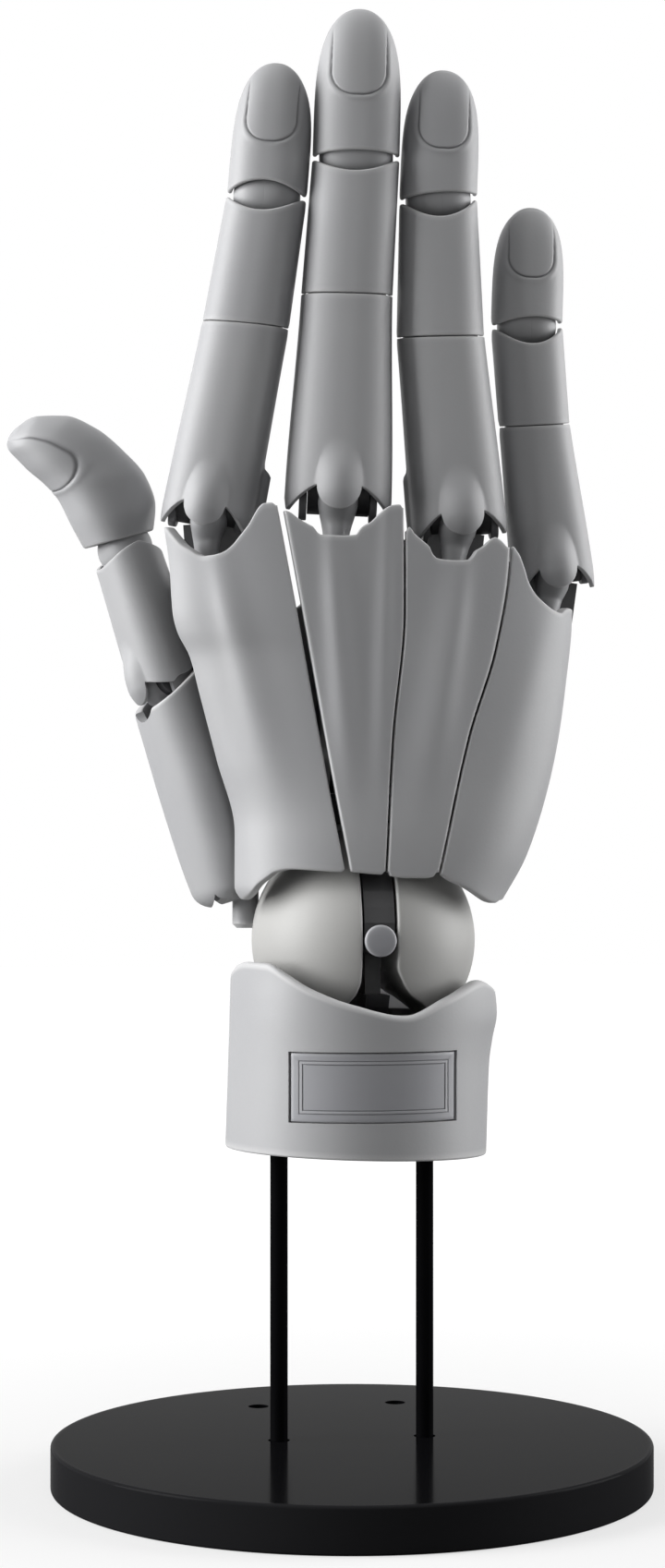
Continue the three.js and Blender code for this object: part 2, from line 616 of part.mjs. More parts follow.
// Hollow phalanx between two rim heights, each a function of the section point
function tubeSolid(angles, sizeAt, bottomRim, topRim, rows, bump = (x, y, z) => [x, y, z]) {
  const ring = (t, inset) => angles.map((angle) => {
    const rimAt = (rim, z) => rim(...sectionPoint(sizeAt(z)[0], sizeAt(z)[1], angle));
    const low = rimAt(bottomRim.height, bottomRim.at);
    const high = rimAt(topRim.height, topRim.at);
    const z = lerp(low, high, t);
    const [halfWidth, halfDepth] = sizeAt(z);
    const [x, y] = sectionPoint(halfWidth - inset, halfDepth - inset, angle);
    return bump(x, y, z);
  });
  const outside = steps(rows).map((t) => ring(t, 0));
  const inside = [1, 0.5, 0].map((t) => ring(t, fingerWall));
  return ringSolid([...outside, ...inside], true);
}

// Rim of a folding joint: arched on the back, where it also drops, and cut away on the palm side
function foldRim(direction, gap, arch, halfWidth) {
  return (x, y) => {
    if (y > 0) return direction * (gap + y * foldSlope);
    return direction * (gap + arch * Math.max(0, 1 - (x / halfWidth) ** 2)) + backRimDrop * y;
  };
}

// Rim at the knuckle: round under the dome, scalloped beside it, raised on the palm side
function knuckleRim(digit) {
  const dome = digit.domeRadius;
  const corner = 0.93 * (digit.widths[0] / 2);
  const besideDome = 0.2;
  const { cornerRim, sideRim, backRim } = { ...fingerRims, ...digit };
  return (x, y) => {
    const side = Math.abs(x);
    const around = Math.atan2(side, -y);
    if (y > 0) return lerp(sideRim, backRim, Math.sin(around - Math.PI / 2) ** 2);
    if (side < dome) return -Math.sqrt(dome * dome - side * side);
    if (side < corner) return lerp(besideDome, cornerRim, ((side - dome) / (corner - dome)) ** 1.6);
    return lerp(cornerRim, sideRim, (side - corner) / (digit.widths[0] / 2 - corner));
  };
}

// Dome over the knuckle on the back and a wider lobe round it on the palm side
function domeBump(digit) {
  const dome = digit.domeRadius;
  return (x, y, z) => {
    if (y > 0) return [x * (1 + palmLobe * smooth(y / 1.5) * (1 - smooth((z - 4) / 7))), y, z];
    const across = Math.max(0, 1 - (x / (dome * 1.05)) ** 2);
    return [x, y - domeRise * Math.sqrt(across) * (1 - smooth(z / 8)), z];
  };
}

function knuckleAngles(digit) {
  const half = digit.widths[0] / 2;
  const dome = digit.domeRadius;
  const places = [0.5 * dome, 0.86 * dome, 0.995 * dome, dome + 0.15, (dome + 0.93 * half) / 2, 0.93 * half];
  const right = places.map((x) => angleAtWidth(x, half, half * fingerDepthShare));
  right.push(...[90, 112, 135, 158].map(radians));
  const left = right.map((angle) => 2 * Math.PI - angle).reverse();
  return [0, ...right, Math.PI, ...left];
}

function halfSizes(width) {
  return [width / 2, (width / 2) * fingerDepthShare];
}

// Barrel of a joint along X, drawn in at its ends to follow the shell round it
function barrelSolid(halfWidth, halfDepth, sides) {
  const stations = [-0.985, -0.8, 0, 0.8, 0.985];
  return ringSolid(stations.map((share) => {
    const radius = halfDepth * (1 - Math.abs(share) ** sectionPower) ** (1 / sectionPower);
    return evenAngles(sides).map((a) => [share * halfWidth, radius * Math.cos(a), radius * Math.sin(a)]);
  }));
}

// Link of a folding joint: a plug in the lower shell and a barrel in the upper one
function linkSolid(width, hingeFrame, lowerFrame) {
  const plugTop = -plugTopShare * width;
  const plugBottom = -plugBottomShare * width;
  const [halfWidth, halfDepth] = halfSizes(width).map((half) => half - fingerWall - turnGap);
  const section = (share, z) => evenAngles(10).map((angle) => (
    [...sectionPoint(halfWidth * share, halfDepth * share, angle), z]
  ));
  const levels = [[0.97, plugBottom], [0.97, plugTop], [0.6, plugTop + 1], [0.5, 0]];
  const stem = levels.map(([share, z]) => section(share, z));
  return union(solidOf(geometryOf(barrelSolid(halfWidth, halfDepth, 10)), hingeFrame),
    solidOf(geometryOf(ringSolid(stem)), lowerFrame));
}

// Tongue that stands in the fork of the bone and carries the knuckle barrel
function knuckleLink(digit, hingeFrame, linkFrame) {
  const halfDepth = halfSizes(digit.widths[0])[1] - fingerWall - turnGap;
  const front = halfDepth - 0.4;
  const barrelHalf = digit.domeRadius + cheekOffset - turnGap;
  const end = forkHalfGap - turnGap;
  const wide = 0.8 * digit.domeRadius;
  const behind = 2.6;
  const forkTop = -boneDrop;
  const sections = [[0, wide, -front, behind], [forkTop + 1.1, wide * 0.95, -front, behind],
    [forkTop, wide * 0.95, -end, end], [-tongueReach, wide * 0.95, -end, end],
    [-tongueReach - 1.5, wide * 0.75, -end, end], [-tongueReach - 2.2, wide * 0.3, -end, end]];
  const tongue = sections.map(([z, half, low, high]) => evenAngles(12).map((angle) => {
    const [x, y] = sectionPoint(half, (high - low) / 2, angle, 3);
    return [x, y + (low + high) / 2, z];
  }));
  return union(rod('x', [0, 0, 0], -barrelHalf, barrelHalf, halfDepth - 0.1, 16, hingeFrame),
    solidOf(geometryOf(ringSolid(tongue)), linkFrame));
}

// Dark frame in the proximal shell: a plug with a cheek on each side of the knuckle barrel
function knuckleFrame(digit, length) {
  const plugBottom = digit.widths[0] * 0.38;
  const plugTop = plugBottom + framePlugHeight;
  const [halfWidth, halfDepth] = proximalSize(digit, plugTop / length)
    .map((half) => half - fingerWall - turnGap);
  const cheekIn = digit.domeRadius + cheekOffset;
  const cheekOut = cheekIn + cheekWidth;
  const cheekDepth = 0.16 * digit.widths[0];
  const plugSize = [halfWidth, halfDepth].map((half) => half * 0.97);
  const section = (z) => evenAngles(12).map((angle) => [...sectionPoint(...plugSize, angle), z]);
  const plug = ringSolid([section(plugBottom), section(plugTop)]);
  const cheek = (from, to) => union(
    rod('x', [0, 0, -cheekReach + cheekDepth], from, to, cheekDepth, 12),
    box([from, -cheekDepth, -cheekReach + cheekDepth], [to, cheekDepth, plugBottom + 1]),
  );
  return union(plug, cheek(-cheekOut, -cheekIn), cheek(cheekIn, cheekOut));
}

function proximalSize(digit, share) {
  return halfSizes(lerp(digit.widths[0], digit.widths[1], (smooth(share) + share) / 2));
}

function proximalShell(digit, length, topTilt) {
  const size = (z) => proximalSize(digit, z / length);
  const halfTop = digit.widths[1] / 2;
  const bottomRim = { at: 0, height: knuckleRim(digit) };
  const fold = foldRim(-1, rimGap, digit.topArch ?? 0, halfTop);
  const topRim = { at: length, height: (x, y) => length + fold(x, y) - x * topTilt };
  return tubeSolid(knuckleAngles(digit), size, bottomRim, topRim, 3, domeBump(digit));
}

function middleShell(digit, length, bottomTilt, topTilt) {
  const size = (z) => halfSizes(lerp(digit.widths[1], digit.widths[2], z / length));
  const unfold = foldRim(1, rimGap, 0, digit.widths[1] / 2);
  const bottomRim = { at: 0, height: (x, y) => unfold(x, y) + x * bottomTilt };
  const fold = foldRim(-1, endRimGap, digit.lensDown, digit.widths[2] / 2);
  const topRim = { at: length, height: (x, y) => length + fold(x, y) - x * topTilt };
  return tubeSolid(evenAngles(18), size, bottomRim, topRim, 2);
}

// Rounded fingertip, open at its joint
function tipPoint(digit, length, angle, height, share, inset) {
  const half = digit.widths[2] / 2 - inset;
  const taper = (1 - share ** tipFullness) ** 0.5;
  const z = lerp(height, length - inset, share);
  const [x, y] = sectionPoint(half * taper, half * fingerDepthShare * taper, angle);
  return [x, y - 0.12 * half * share ** 2, z];
}

function tipShell(digit, length, tilt) {
  const rim = foldRim(1, endRimGap, digit.lensUp, digit.widths[2] / 2);
  const ring = (share, inset) => evenAngles(16).map((angle) => {
    const [x, y] = sectionPoint(...halfSizes(digit.widths[2]), angle);
    return tipPoint(digit, length, angle, rim(x, y) + x * tilt, share, inset);
  });
  const outside = [0.992, 0.93, 0.78, 0.45, 0].map((share) => ring(share, 0));
  const inside = [0, 0.6, 0.93].map((share) => ring(share, fingerWall));
  const shell = ringSolid([...outside, ...inside]);
  const nailSurface = (inset) => (u, v) => {
    const spread = radians(46) * (1 - 0.25 * (1 - v) ** 2);
    return tipPoint(digit, length, lerp(-spread, spread, u), 0, lerp(0.4, 0.9, v), inset);
  };
  return shell.add(plateSolid(nailSurface(-0.3), nailSurface(0.4), steps(3), steps(2)));
}

// Thumb tip from rows of [x, z] on the nail side, [x, z] on the pulp side and half width across
function thumbTipPoint(row, angle, inset) {
  const last = thumbTipRows.length - 1;
  const i = Math.min(Math.floor(row), last - 1);
  const at = (k) => lerp(thumbTipRows[i][k], thumbTipRows[i + 1][k], row - i);
  const [nailX, nailZ, pulpX, pulpZ, across] = [0, 1, 2, 3, 4].map(at);
  const depth = Math.hypot(pulpX - nailX, pulpZ - nailZ) / 2;
  const [u, v] = sectionPoint(Math.max(across - inset, 0.1), Math.max(depth - inset, 0.1), angle);
  const [towardsX, towardsZ] = [(pulpX - nailX) / (2 * depth), (pulpZ - nailZ) / (2 * depth)];
  const roll = radians(thumb.roll);
  const side = [Math.cos(roll), Math.sin(roll), 0];
  const deep = [-Math.sin(roll) * towardsX, Math.cos(roll) * towardsX, towardsZ];
  const centre = [(nailX + pulpX) / 2, thumb.y, (nailZ + pulpZ) / 2];
  return centre.map((c, k) => c + side[k] * u + deep[k] * v);
}

function thumbTipShell() {
  const last = thumbTipRows.length - 1;
  const angles = evenAngles(16);
  const ring = (row, inset) => angles.map((angle) => thumbTipPoint(row, angle, inset));
  const outside = [last, last - 1, last - 2, last - 3, last - 5, 1, 0].map((row) => ring(row, 0));
  const inside = [0, 1, last - 5, last - 2.5].map((row) => ring(row, fingerWall));
  const nailSurface = (inset) => (u, v) => {
    const spread = radians(50) * (1 - 0.25 * (1 - v) ** 2);
    return thumbTipPoint(lerp(2.6, last - 0.6, v), lerp(-spread, spread, u), inset);
  };
  return ringSolid([...outside, ...inside])
    .add(plateSolid(nailSurface(-0.25), nailSurface(0.4), steps(3), steps(4)));
}

function makeFinger(name, digit) {
  const leans = fingerLeans(digit);
  const lengths = leans.map((lean, i) => {
    const [a, b] = [digit.joints[i], digit.joints[i + 1]];
    return Math.hypot(b[0] - a[0], b[1] - a[1]);
  });
  const frames = leans.map((lean, i) => jointFrame(digit, i, lean));
  const hingeLeans = [leans[0], ...digit.hingeLeans.map(radians)];
  const hinges = hingeLeans.map((lean, i) => jointFrame(digit, i, lean));
  const [topTilts, bottomTilts] = [0, 1].map((side) => [1, 2].map((i) => (
    side === 0 ? Math.tan(hingeLeans[i] - leans[i - 1]) : Math.tan(leans[i] - hingeLeans[i])
  )));
  const linkFrame = jointFrame(digit, 0, radians(digit.linkLean));
  addPart(`${name}_metacarpal`, boneSolid(digit), darkGrey);
  addPart(`${name}_back_shell`, backShell(digit, 0, palmWall), grey);
  addPart(`${name}_palm_shell`, palmShell(digit, 0, palmWall), grey);
  addPart(`${name}_knuckle_link`, knuckleLink(digit, hinges[0], linkFrame), grey);
  addPart(`${name}_knuckle_frame`, knuckleFrame(digit, lengths[0]), darkGrey, frames[0]);
  addPart(`${name}_proximal`, proximalShell(digit, lengths[0], topTilts[0]), grey, frames[0]);
  const lowerFrame = (i) => jointFrame(digit, i, leans[i - 1]);
  addPart(`${name}_pip_link`, linkSolid(digit.widths[1], hinges[1], lowerFrame(1)), paleGrey);
  addPart(`${name}_middle`, middleShell(digit, lengths[1], bottomTilts[0], topTilts[1]), grey, frames[1]);
  addPart(`${name}_dip_link`, linkSolid(digit.widths[2], hinges[2], lowerFrame(2)), paleGrey);
  addPart(`${name}_tip`, tipShell(digit, lengths[2], bottomTilts[1]), grey, frames[2]);
  if (digit.spreads) {
    const spreadPoint = new THREE.Vector3(0, 0, -tongueReach).applyMatrix4(linkFrame);
    addJoint(`${name}_spread`, placeAt(spreadPoint.toArray(), radians(digit.linkLean), digit.roll + 90));
  }
  ['knuckle', 'middle_joint', 'end_joint'].forEach((joint, i) => addJoint(`${name}_${joint}`, hinges[i]));
}

// Thenar shell: closed round foot, open towards the palm, notched round the thumb's knuckle
function thumbShellSolid(length, frame) {
  const angles = evenAngles(20);
  const ring = (z, inset) => angles.map((angle) => {
    const front = lookUp(thumbShellBack, z) - inset;
    const rear = lookUp(thumbShellPulp, z) - inset;
    const half = lookUp(thumbShellHalf, z) - inset;
    return [...sectionPoint(half, Math.cos(angle) > 0 ? front : rear, angle), z];
  });
  const heights = thumbShellHalf.map(([z]) => z);
  const top = length + thumbRimRise;
  const body = ringSolid([...heights.filter((z) => z < top), top].map((z) => ring(z, 0)));
  const floor = length - thumbCavityDepth;
  const cavity = ringSolid([floor, top + 2].map((z) => ring(z, thumbShellWall)));
  const hollow = heights.filter((z) => z > heights[0] && z < floor - 4);
  const lowerCavity = ringSolid([...hollow, floor - 3].map((z) => ring(z, thumbShellWall)));
  const slot = box([-forkHalfGap - 1, -forkHalfGap, floor - 1.6], [forkHalfGap + 1, forkHalfGap, floor + 1]);
  const wide = 14;
  const level = (front, back) => (
    [[-wide, -wide, front], [wide, -wide, front], [wide, wide, back], [-wide, wide, back]]
  );
  const rimCut = ringSolid([level(length + thumbRimFront, length + thumbRimBack), level(top + 4, top + 4)]);
  const notch = rod('y', [0, 0, length - 1.5], -wide, 0, thumb.domeRadius + 1, 14);
  const [rootX, rootY, rootZ] = thumbRoot;
  const openingLow = rootZ - boneFootRadius - heelHeight;
  const openingEnd = [ballCentre[0] + wide, rootY + wide, carpusTop + thumbOpeningRise];
  const opening = union(box([rootX + 0.2, -wide, openingLow], openingEnd),
    box([rootX - 2.4, rootY - 4.8, openingLow], openingEnd));
  return body.subtract(cavity).subtract(lowerCavity).subtract(slot).subtract(rimCut).subtract(notch)
    .subtract(solidOf(geometryOf(opening), frame.clone().invert()));
}

function makeThumb() {
  const [rootX, , rootZ] = thumbRoot;
  const knuckle = thumb.joints[0];
  const shellLean = leanBetween([rootX, rootZ], knuckle);
  const shellLength = Math.hypot(knuckle[0] - rootX, knuckle[1] - rootZ);
  const shellFrame = placeAt(thumbRoot, shellLean, thumb.roll);
  addPart('thumb_metacarpal', thumbShellSolid(shellLength, shellFrame), grey, shellFrame);

  const length = Math.hypot(thumb.joints[1][0] - knuckle[0], thumb.joints[1][1] - knuckle[1]);
  const frame = jointFrame(thumb, 0, leanBetween(...thumb.joints));
  const endFrame = jointFrame(thumb, 1, radians(thumbEndLean));
  const topTilt = Math.tan(radians(thumbEndLean) - leanBetween(...thumb.joints));
  addPart('thumb_knuckle_link', knuckleLink(thumb, frame, jointFrame(thumb, 0, shellLean)), grey);
  addPart('thumb_knuckle_frame', knuckleFrame(thumb, length), darkGrey, frame);
  addPart('thumb_proximal', proximalShell(thumb, length, topTilt), grey, frame);
  const lowerFrame = jointFrame(thumb, 1, leanBetween(...thumb.joints));
  addPart('thumb_end_link', linkSolid(thumb.widths[1], endFrame, lowerFrame), paleGrey);
  addPart('thumb_tip', thumbTipShell(), grey);

  const collarTop = carpusTop + seatGap;
  const [swingX, swingY] = thumbSwingAxis;
  const barrelWidth = lookUp(thumbShellHalf, 0) - thumbShellWall - 2 * seatGap;
  const barrel = solidOf(geometryOf(barrelSolid(barrelWidth, 3.1, 14)), shellFrame);
  const rootLink = union(barrel,
    box([rootX, swingY - 2.2, rootZ - 2], [swingX, swingY + 1, rootZ + 2]),
    rod('z', thumbSwingAxis, rootZ - 1, collarTop + 1.3, thumbShaftRadius, 12),
    rod('z', thumbSwingAxis, collarTop, collarTop + 1.3, thumbShaftRadius + 1, 12),
    rod('z', thumbSwingAxis, rootZ - 2, carpusBottom - seatGap, thumbShaftRadius + 0.8, 12),
    rod('z', thumbSwingAxis, rootZ - thumbRootDrop, rootZ, thumbShaftRadius - 0.1, 12));
  addPart('thumb_root_link', rootLink, grey);
  addJoint('thumb_swing', placeAt(thumbSwingAxis, 0, 0));
  addJoint('thumb_lift', shellFrame);
  addJoint('thumb_knuckle', frame);
  addJoint('thumb_end_joint', endFrame);
}

function makeHeel() {
  const surface = (inset) => (u, v) => {
    const z = lerp(heelBottom, heelTop, v);
    return palmPoint(1, lerp(palmAngle(1, heelLeft, z), radians(backEdgeAngle), u), z, inset);
  };
  addPart('palm_heel', plateSolid(surface(0), surface(palmWall), steps(9), steps(3)), grey);
}

makeStand();
makeCuff();
makeWrist();
makeHeel();
for (const [name, digit] of Object.entries(digits)) makeFinger(name, digit);
makeThumb();

export default hand;
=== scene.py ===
"""Artist's right hand of hollow moulded shells on a glossy stand with two posts.

Every form is made here from named sizes in millimetres, in the frame of the model: +Z up, back of
the hand towards -Y, thumb towards -X.
"""
import math
from bisect import bisect_right

import bmesh
import bpy
from mathutils import Matrix, Vector


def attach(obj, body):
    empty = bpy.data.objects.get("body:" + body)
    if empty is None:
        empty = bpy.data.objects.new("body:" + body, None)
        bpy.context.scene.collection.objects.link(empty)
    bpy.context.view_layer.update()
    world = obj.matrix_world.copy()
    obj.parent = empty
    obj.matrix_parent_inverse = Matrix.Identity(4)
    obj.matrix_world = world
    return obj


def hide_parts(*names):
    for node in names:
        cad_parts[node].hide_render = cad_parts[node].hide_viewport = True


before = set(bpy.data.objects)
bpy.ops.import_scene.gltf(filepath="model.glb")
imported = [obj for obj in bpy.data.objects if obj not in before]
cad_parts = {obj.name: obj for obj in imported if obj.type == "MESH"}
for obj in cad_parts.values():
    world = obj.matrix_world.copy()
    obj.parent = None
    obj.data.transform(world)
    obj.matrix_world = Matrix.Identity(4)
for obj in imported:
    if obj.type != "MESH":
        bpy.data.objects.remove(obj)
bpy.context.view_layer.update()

MM = 0.001

# Clearances and edges
SEAT_GAP = 0.3
TURN_GAP = 0.35
SEAM_GAP = 0.28
INDEX_SEAM_GAP = 0.75
LINK_GAP = 0.22
FINE_LIP = 0.14
SOFT_LIP = 0.3
CUFF_LIP = 0.65
SHARP_ANGLE = math.radians(44)

# Stand
DISC_RADIUS = 42.75
DISC_THICKNESS = 6.4
DISC_BEVEL = 0.45
POST_RADIUS = 1.25
POST_SPACING = 21
POST_TOP = 60.6
POST_SOCKET_DEPTH = 4.6
SPARE_SOCKET_OFFSET = 25.5

# Cuff
CUFF_BOTTOM = 47.6
CUFF_BOTTOM_SLOPE = 0.029
CUFF_CENTRE = 0.65
CUFF_HALF_DEPTH = 18.6
CUFF_LEFT_RADIUS = [(47, 18.75), (60, 18.3), (74, 17.9)]
CUFF_RIGHT_RADIUS = [(47, 18.45), (60, 18.9), (63.5, 19.4), (67, 20.05), (70, 19.8), (72, 19.1)]
CUFF_BORE_RADIUS = 17
CUFF_RIM = [
    (-180, 72.5), (-140, 69.6), (-115, 71.5), (-90, 73.2), (-68, 74.5), (-52, 74.4), (-41, 72.9),
    (-30, 71.1), (-10, 68.8), (13, 67.3), (34, 69.6), (60, 71.9), (72, 71.2), (88, 69.9),
    (110, 69.4), (140, 69.6), (180, 72.5)]
PLAQUE = {"left": -11, "right": 12.4, "bottom": 52.7, "top": 62.4}
PLAQUE_DEPTH = 0.22
PLAQUE_THICKNESS = 0.5

# Wrist ball; each side of its slot is rows of (height above the centre, half width)
BALL_CENTRE = (1.6, 0, 77.5)
BALL_RADIUS = 15.9
BALL_LIP = 0.45
BALL_LEFT_FOOT = -11.6
BALL_RIGHT_FOOT = -10.9
SLOT_LEFT = [(-12, 8.2), (-10, 5.4), (-8.6, 3.9), (-7.2, 2.95), (-5.6, 2.5), (-4, 2.45), (16, 2.45)]
SLOT_RIGHT = [
    (-12, 9.6), (-10, 7.9), (-8.6, 6.3), (-7.9, 5.2), (-6.9, 4.1), (-5, 3), (-4, 2.55), (-3, 2.45),
    (16, 2.45)]
PIN_RADIUS = 1.1
PIN_HEAD_RADIUS = 2.2
PIN_HEAD_HEIGHT = 0.8

# Palm: its sides, depths and seams as rows of (height, place)
PALM_LEFT = [
    (83, -16.2), (84.8, -17.3), (92.9, -17.4), (102.7, -20.1), (112.2, -22.8), (117.1, -24.2),
    (120.6, -26.1), (123.2, -26.8), (129.6, -27.3), (135.6, -28.2)]
PALM_RIGHT = [
    (82.5, 20.9), (89.6, 24.9), (100.4, 28.4), (107.5, 29.9), (115, 31), (122.6, 31.9), (135, 32.2)]
BACK_DEPTH = [(83, 15.4), (90, 15.1), (100, 14), (112, 13), (125, 12.3), (140, 12)]
PALM_DEPTH = [(84, 15), (92, 13.2), (104, 11.2), (120, 9.4), (135, 8.4)]
PALM_POWER = 2.5
PALM_WALL = 1.3
BACK_EDGE_ANGLE = 82
SEAM_INDEX_MIDDLE = [(86.9, -2.8), (105.4, -6), (124.4, -9.3), (138, -11.8)]
SEAM_MIDDLE_RING = [(87, 2.5), (105.5, 3.7), (123.3, 5.55), (138, 5.6)]
SEAM_RING_LITTLE = [(86.5, 9.9), (105.7, 14.5), (118.1, 18.6), (129.3, 20.7), (134, 21)]
INDEX_PALM_EDGE = [(104, -13.5), (112, -17), (118, -20), (124, -22.5), (131, -24.5)]
PALM_SHELL_DROP = 8.4
SEAM_LAP_FOOT = 99
RIDGE_FOOT = 88
BONE_FOOT_HEIGHT = 101.5
HEEL_TOP = BONE_FOOT_HEIGHT + 2.5
HEEL_BOTTOM = HEEL_TOP - 16
HEEL_LEFT = -10.5

# Fingers
FINGER_WALL = 0.65
SECTION_POWER = 2.4
DEPTH_SHARE = 0.88
FOLD_SLOPE = math.tan(math.radians(46))
RIM_GAP = 0.09
END_RIM_GAP = 0.3
BACK_RIM_DROP = 0.16
TIP_FULLNESS = 4.2
DOME_RISE = 1.15
DOME_DROP = 0.95
DOME_HEIGHT = 7
DOME_SPREAD = 1.12
BESIDE_DOME = 0.2
RIM_CORNER_SHARE = 0.965
PALM_LOBE_TOP = 6.4
TONGUE_REACH = 12
TONGUE_GAP = 0.5
TONGUE_WIDTHS = [(-8.6, 0.55), (-6.5, 0.6), (-5, 0.69), (-3.5, 0.82), (-2, 0.93), (0, 0.93), (1.5, 0.6)]
TONGUE_BEND = [(-12, 0), (-8.6, 1), (-6, 0.85), (-3, 0.2), (-1, 0)]
FORK_HALF_GAP = 2.2
FORK_FOOT_SHARE = 0.38
FORK_PLUG_LENGTH = 2.6
CHEEK_DEPTH_SHARE = 0.16
CHEEK_OFFSET = 1.3
CHEEK_WIDTH = 1.1
HUB_SHARE = 0.32
HUB_FILL = 0.81
HUB_GAP = 0.06
LINK_TOP_SHARE = 0.57
LINK_FOOT_SHARE = 0.78
NAIL_LINE_WIDTH = 0.12
NAIL_LINE_DEPTH = 0.17
NAIL_BASE_LIFT = 0.03
NAIL_END_LIFT = 0.34
NAIL_FOLD_LIFT = 0.09
NAIL_GROOVE_SHADE = 0.8

# Height of the knuckle's rim against its joint at the corners, the sides and the palm side
FINGER_RIMS = {"corner": -2.8, "side": -1.1, "palm": 4.8}

# Sizes of each finger:
# - joints, as (x, z) from the knuckle to the tip, at depth y; roll and leans in degrees
# - widths at its three joints; dome, the radius of the knuckle's dome
# - lens_up and lens_down, how far the two rims at the end joint arch away from it on the back
# - left, right and palm_edge, the seams beside its shells, with None for the edge of the palm
# - fold in degrees, for a metacarpal that folds; spreads, where the knuckle turns sideways too
# - nail, as half width, base and end along the tip, and its shift to the side
# - ridges over its metacarpal, as (x at the foot, x at the top, height, width)
# - corner_cut, how much of the palm shell's upper left corner is cut away
# - drop, how far the rim and the dome of the knuckle are shifted down from its joint
# - bend, how far its tongue stands to the right of a straight one
# - lobes, how far the palm side of the knuckle swells to the left and to the right
# - web, where a dark web of painted shade closes the view through the fork; hub, a smaller barrel than
#   HUB_SHARE
# - top and bottom, the rims of its back shell as (x, z)
DIGITS = {
    "index": {
        "y": -1.5, "roll": -12, "joints": [(-20.4, 139), (-15.4, 164.2), (-12.4, 182.4), (-10.8, 201.1)],
        "widths": [13, 12.1, 11.2], "dome": 2.9, "lens_up": 1.7, "lens_down": 2, "hinge_leans": [6, 4],
        "left": None, "right": SEAM_INDEX_MIDDLE, "palm_edge": INDEX_PALM_EDGE, "fold": 0,
        "spreads": True, "link_lean": -4, "nail": {"half": 3.5, "low": 6.6, "top": 18, "turn": 0.2},
        "ridges": [(-10.5, -20.6, 0.75, 2.1), (-14, -25, -0.25, 3)],
        "drop": 1.2, "bend": -0.9, "lobes": (0, 1.2), "web": True,
        "top": [
            (-28, 134.6), (-27.6, 135.2), (-27.1, 135.1), (-26.5, 134.3), (-25, 132.4), (-23.9, 131.6),
            (-23, 130.95), (-22.2, 130.7), (-20.5, 130.8), (-19.6, 131), (-19, 131.3), (-18, 132.3),
            (-17.5, 133), (-16, 135), (-14.7, 137.2), (-14, 137.8), (-12.9, 137.9), (-12.3, 137.5)],
        "bottom": [
            (-17.4, 86.4), (-17.3, 84.6), (-16.9, 83.5), (-16.3, 83.1), (-15.7, 83.7), (-14.9, 85),
            (-13.8, 86), (-12.3, 87), (-10.6, 87.3), (-7, 87.1), (-3.7, 86.9), (-3.2, 87.4)]},
    "middle": {
        "y": -3, "roll": -7, "joints": [(-2.4, 141.4), (-1.2, 168.6), (0.1, 187.9), (0.7, 208.8)],
        "widths": [15.1, 12.9, 12.3], "dome": 3.1, "lens_up": 0.5, "lens_down": 1.8,
        "hinge_leans": [1, 0], "left": SEAM_INDEX_MIDDLE, "right": SEAM_MIDDLE_RING, "fold": 0,
        "link_lean": 3, "nail": {"half": 3.8, "low": 7.6, "top": 20, "turn": 0},
        "ridges": [(-1.2, -4.6, 0.7, 1.7), (1.6, 3.1, 0.45, 1.2)], "drop": 0.9, "corner_cut": 8,
        "top": [
            (-11.4, 136.2), (-11.1, 136.8), (-10.4, 136.6), (-9.2, 135.7), (-7.8, 134.9), (-7.1, 134.5),
            (-6.7, 133.9), (-6.1, 133.5), (-3.5, 133.4), (-1.3, 133.6), (-0.8, 134.3), (-0.3, 134.8),
            (0.8, 135.4), (1.9, 136.5), (3, 137.4), (3.9, 137.8), (4.9, 137.9), (5.3, 137.4)],
        "bottom": [(-2.6, 87.4), (-2.3, 87), (-1, 86.8), (1.8, 86.6), (2.2, 87)]},
    "ring": {
        "y": -2.5, "roll": -4, "joints": [(14.8, 138.4), (12.3, 163.2), (12, 182.7), (12.7, 200.9)],
        "widths": [13.5, 12.4, 11], "dome": 3, "lens_up": 0.5, "lens_down": 2.3,
        "hinge_leans": [-2, -4], "left": SEAM_MIDDLE_RING, "right": SEAM_RING_LITTLE, "fold": 4,
        "link_lean": 6, "nail": {"half": 3.5, "low": 6.1, "top": 17.4, "turn": 0},
        "ridges": [(6.6, 13.6, 0.75, 2.3)], "drop": 1, "lobes": (0.6, 0), "web": True,
        "top": [
            (5.9, 134.2), (6.2, 134.8), (7, 133.9), (8.2, 132.9), (9.1, 132.1), (9.5, 131.2),
            (10.1, 130.6), (11, 130.4), (12.7, 130.3), (14.6, 130.5), (15.3, 131.1), (15.8, 131.8),
            (16.8, 132.4), (17.9, 133.4), (18.6, 133.8), (19.3, 133.5), (20.4, 132.5)],
        "bottom": [(2.8, 86.9), (3.1, 86.4), (5.5, 86.1), (7.9, 86.1), (9, 86.3), (9.5, 86.9)]},
    "little": {
        "y": 0, "roll": -2, "joints": [(29.1, 130.6), (26.5, 151.5), (25.4, 165.7), (25.9, 182.6)],
        "widths": [11.8, 10.1, 10.2], "dome": 2.7, "lens_up": 1, "lens_down": 2.2,
        "hinge_leans": [-4, -2.6], "left": SEAM_RING_LITTLE, "right": None, "fold": 8,
        "spreads": True, "link_lean": 8, "nail": {"half": 3.2, "low": 6.1, "top": 16, "turn": -0.25},
        "ridges": [(15.5, 27, 0.5, 3.2)], "drop": 0.3, "hub": 0.2, "web": True,
        "top": [
            (21.4, 132.6), (22.3, 131.4), (23, 129.7), (23.6, 127.9), (24.7, 126.1), (26.1, 124.9),
            (27.6, 124.1), (28.9, 123.8), (29.7, 124.3), (30.6, 124.7), (31.6, 124.6)],
        "bottom": [(10.1, 86.6), (10.8, 86.1), (14.1, 84.7), (18.4, 82.8), (19.3, 82.7), (20, 83.1)]},
}

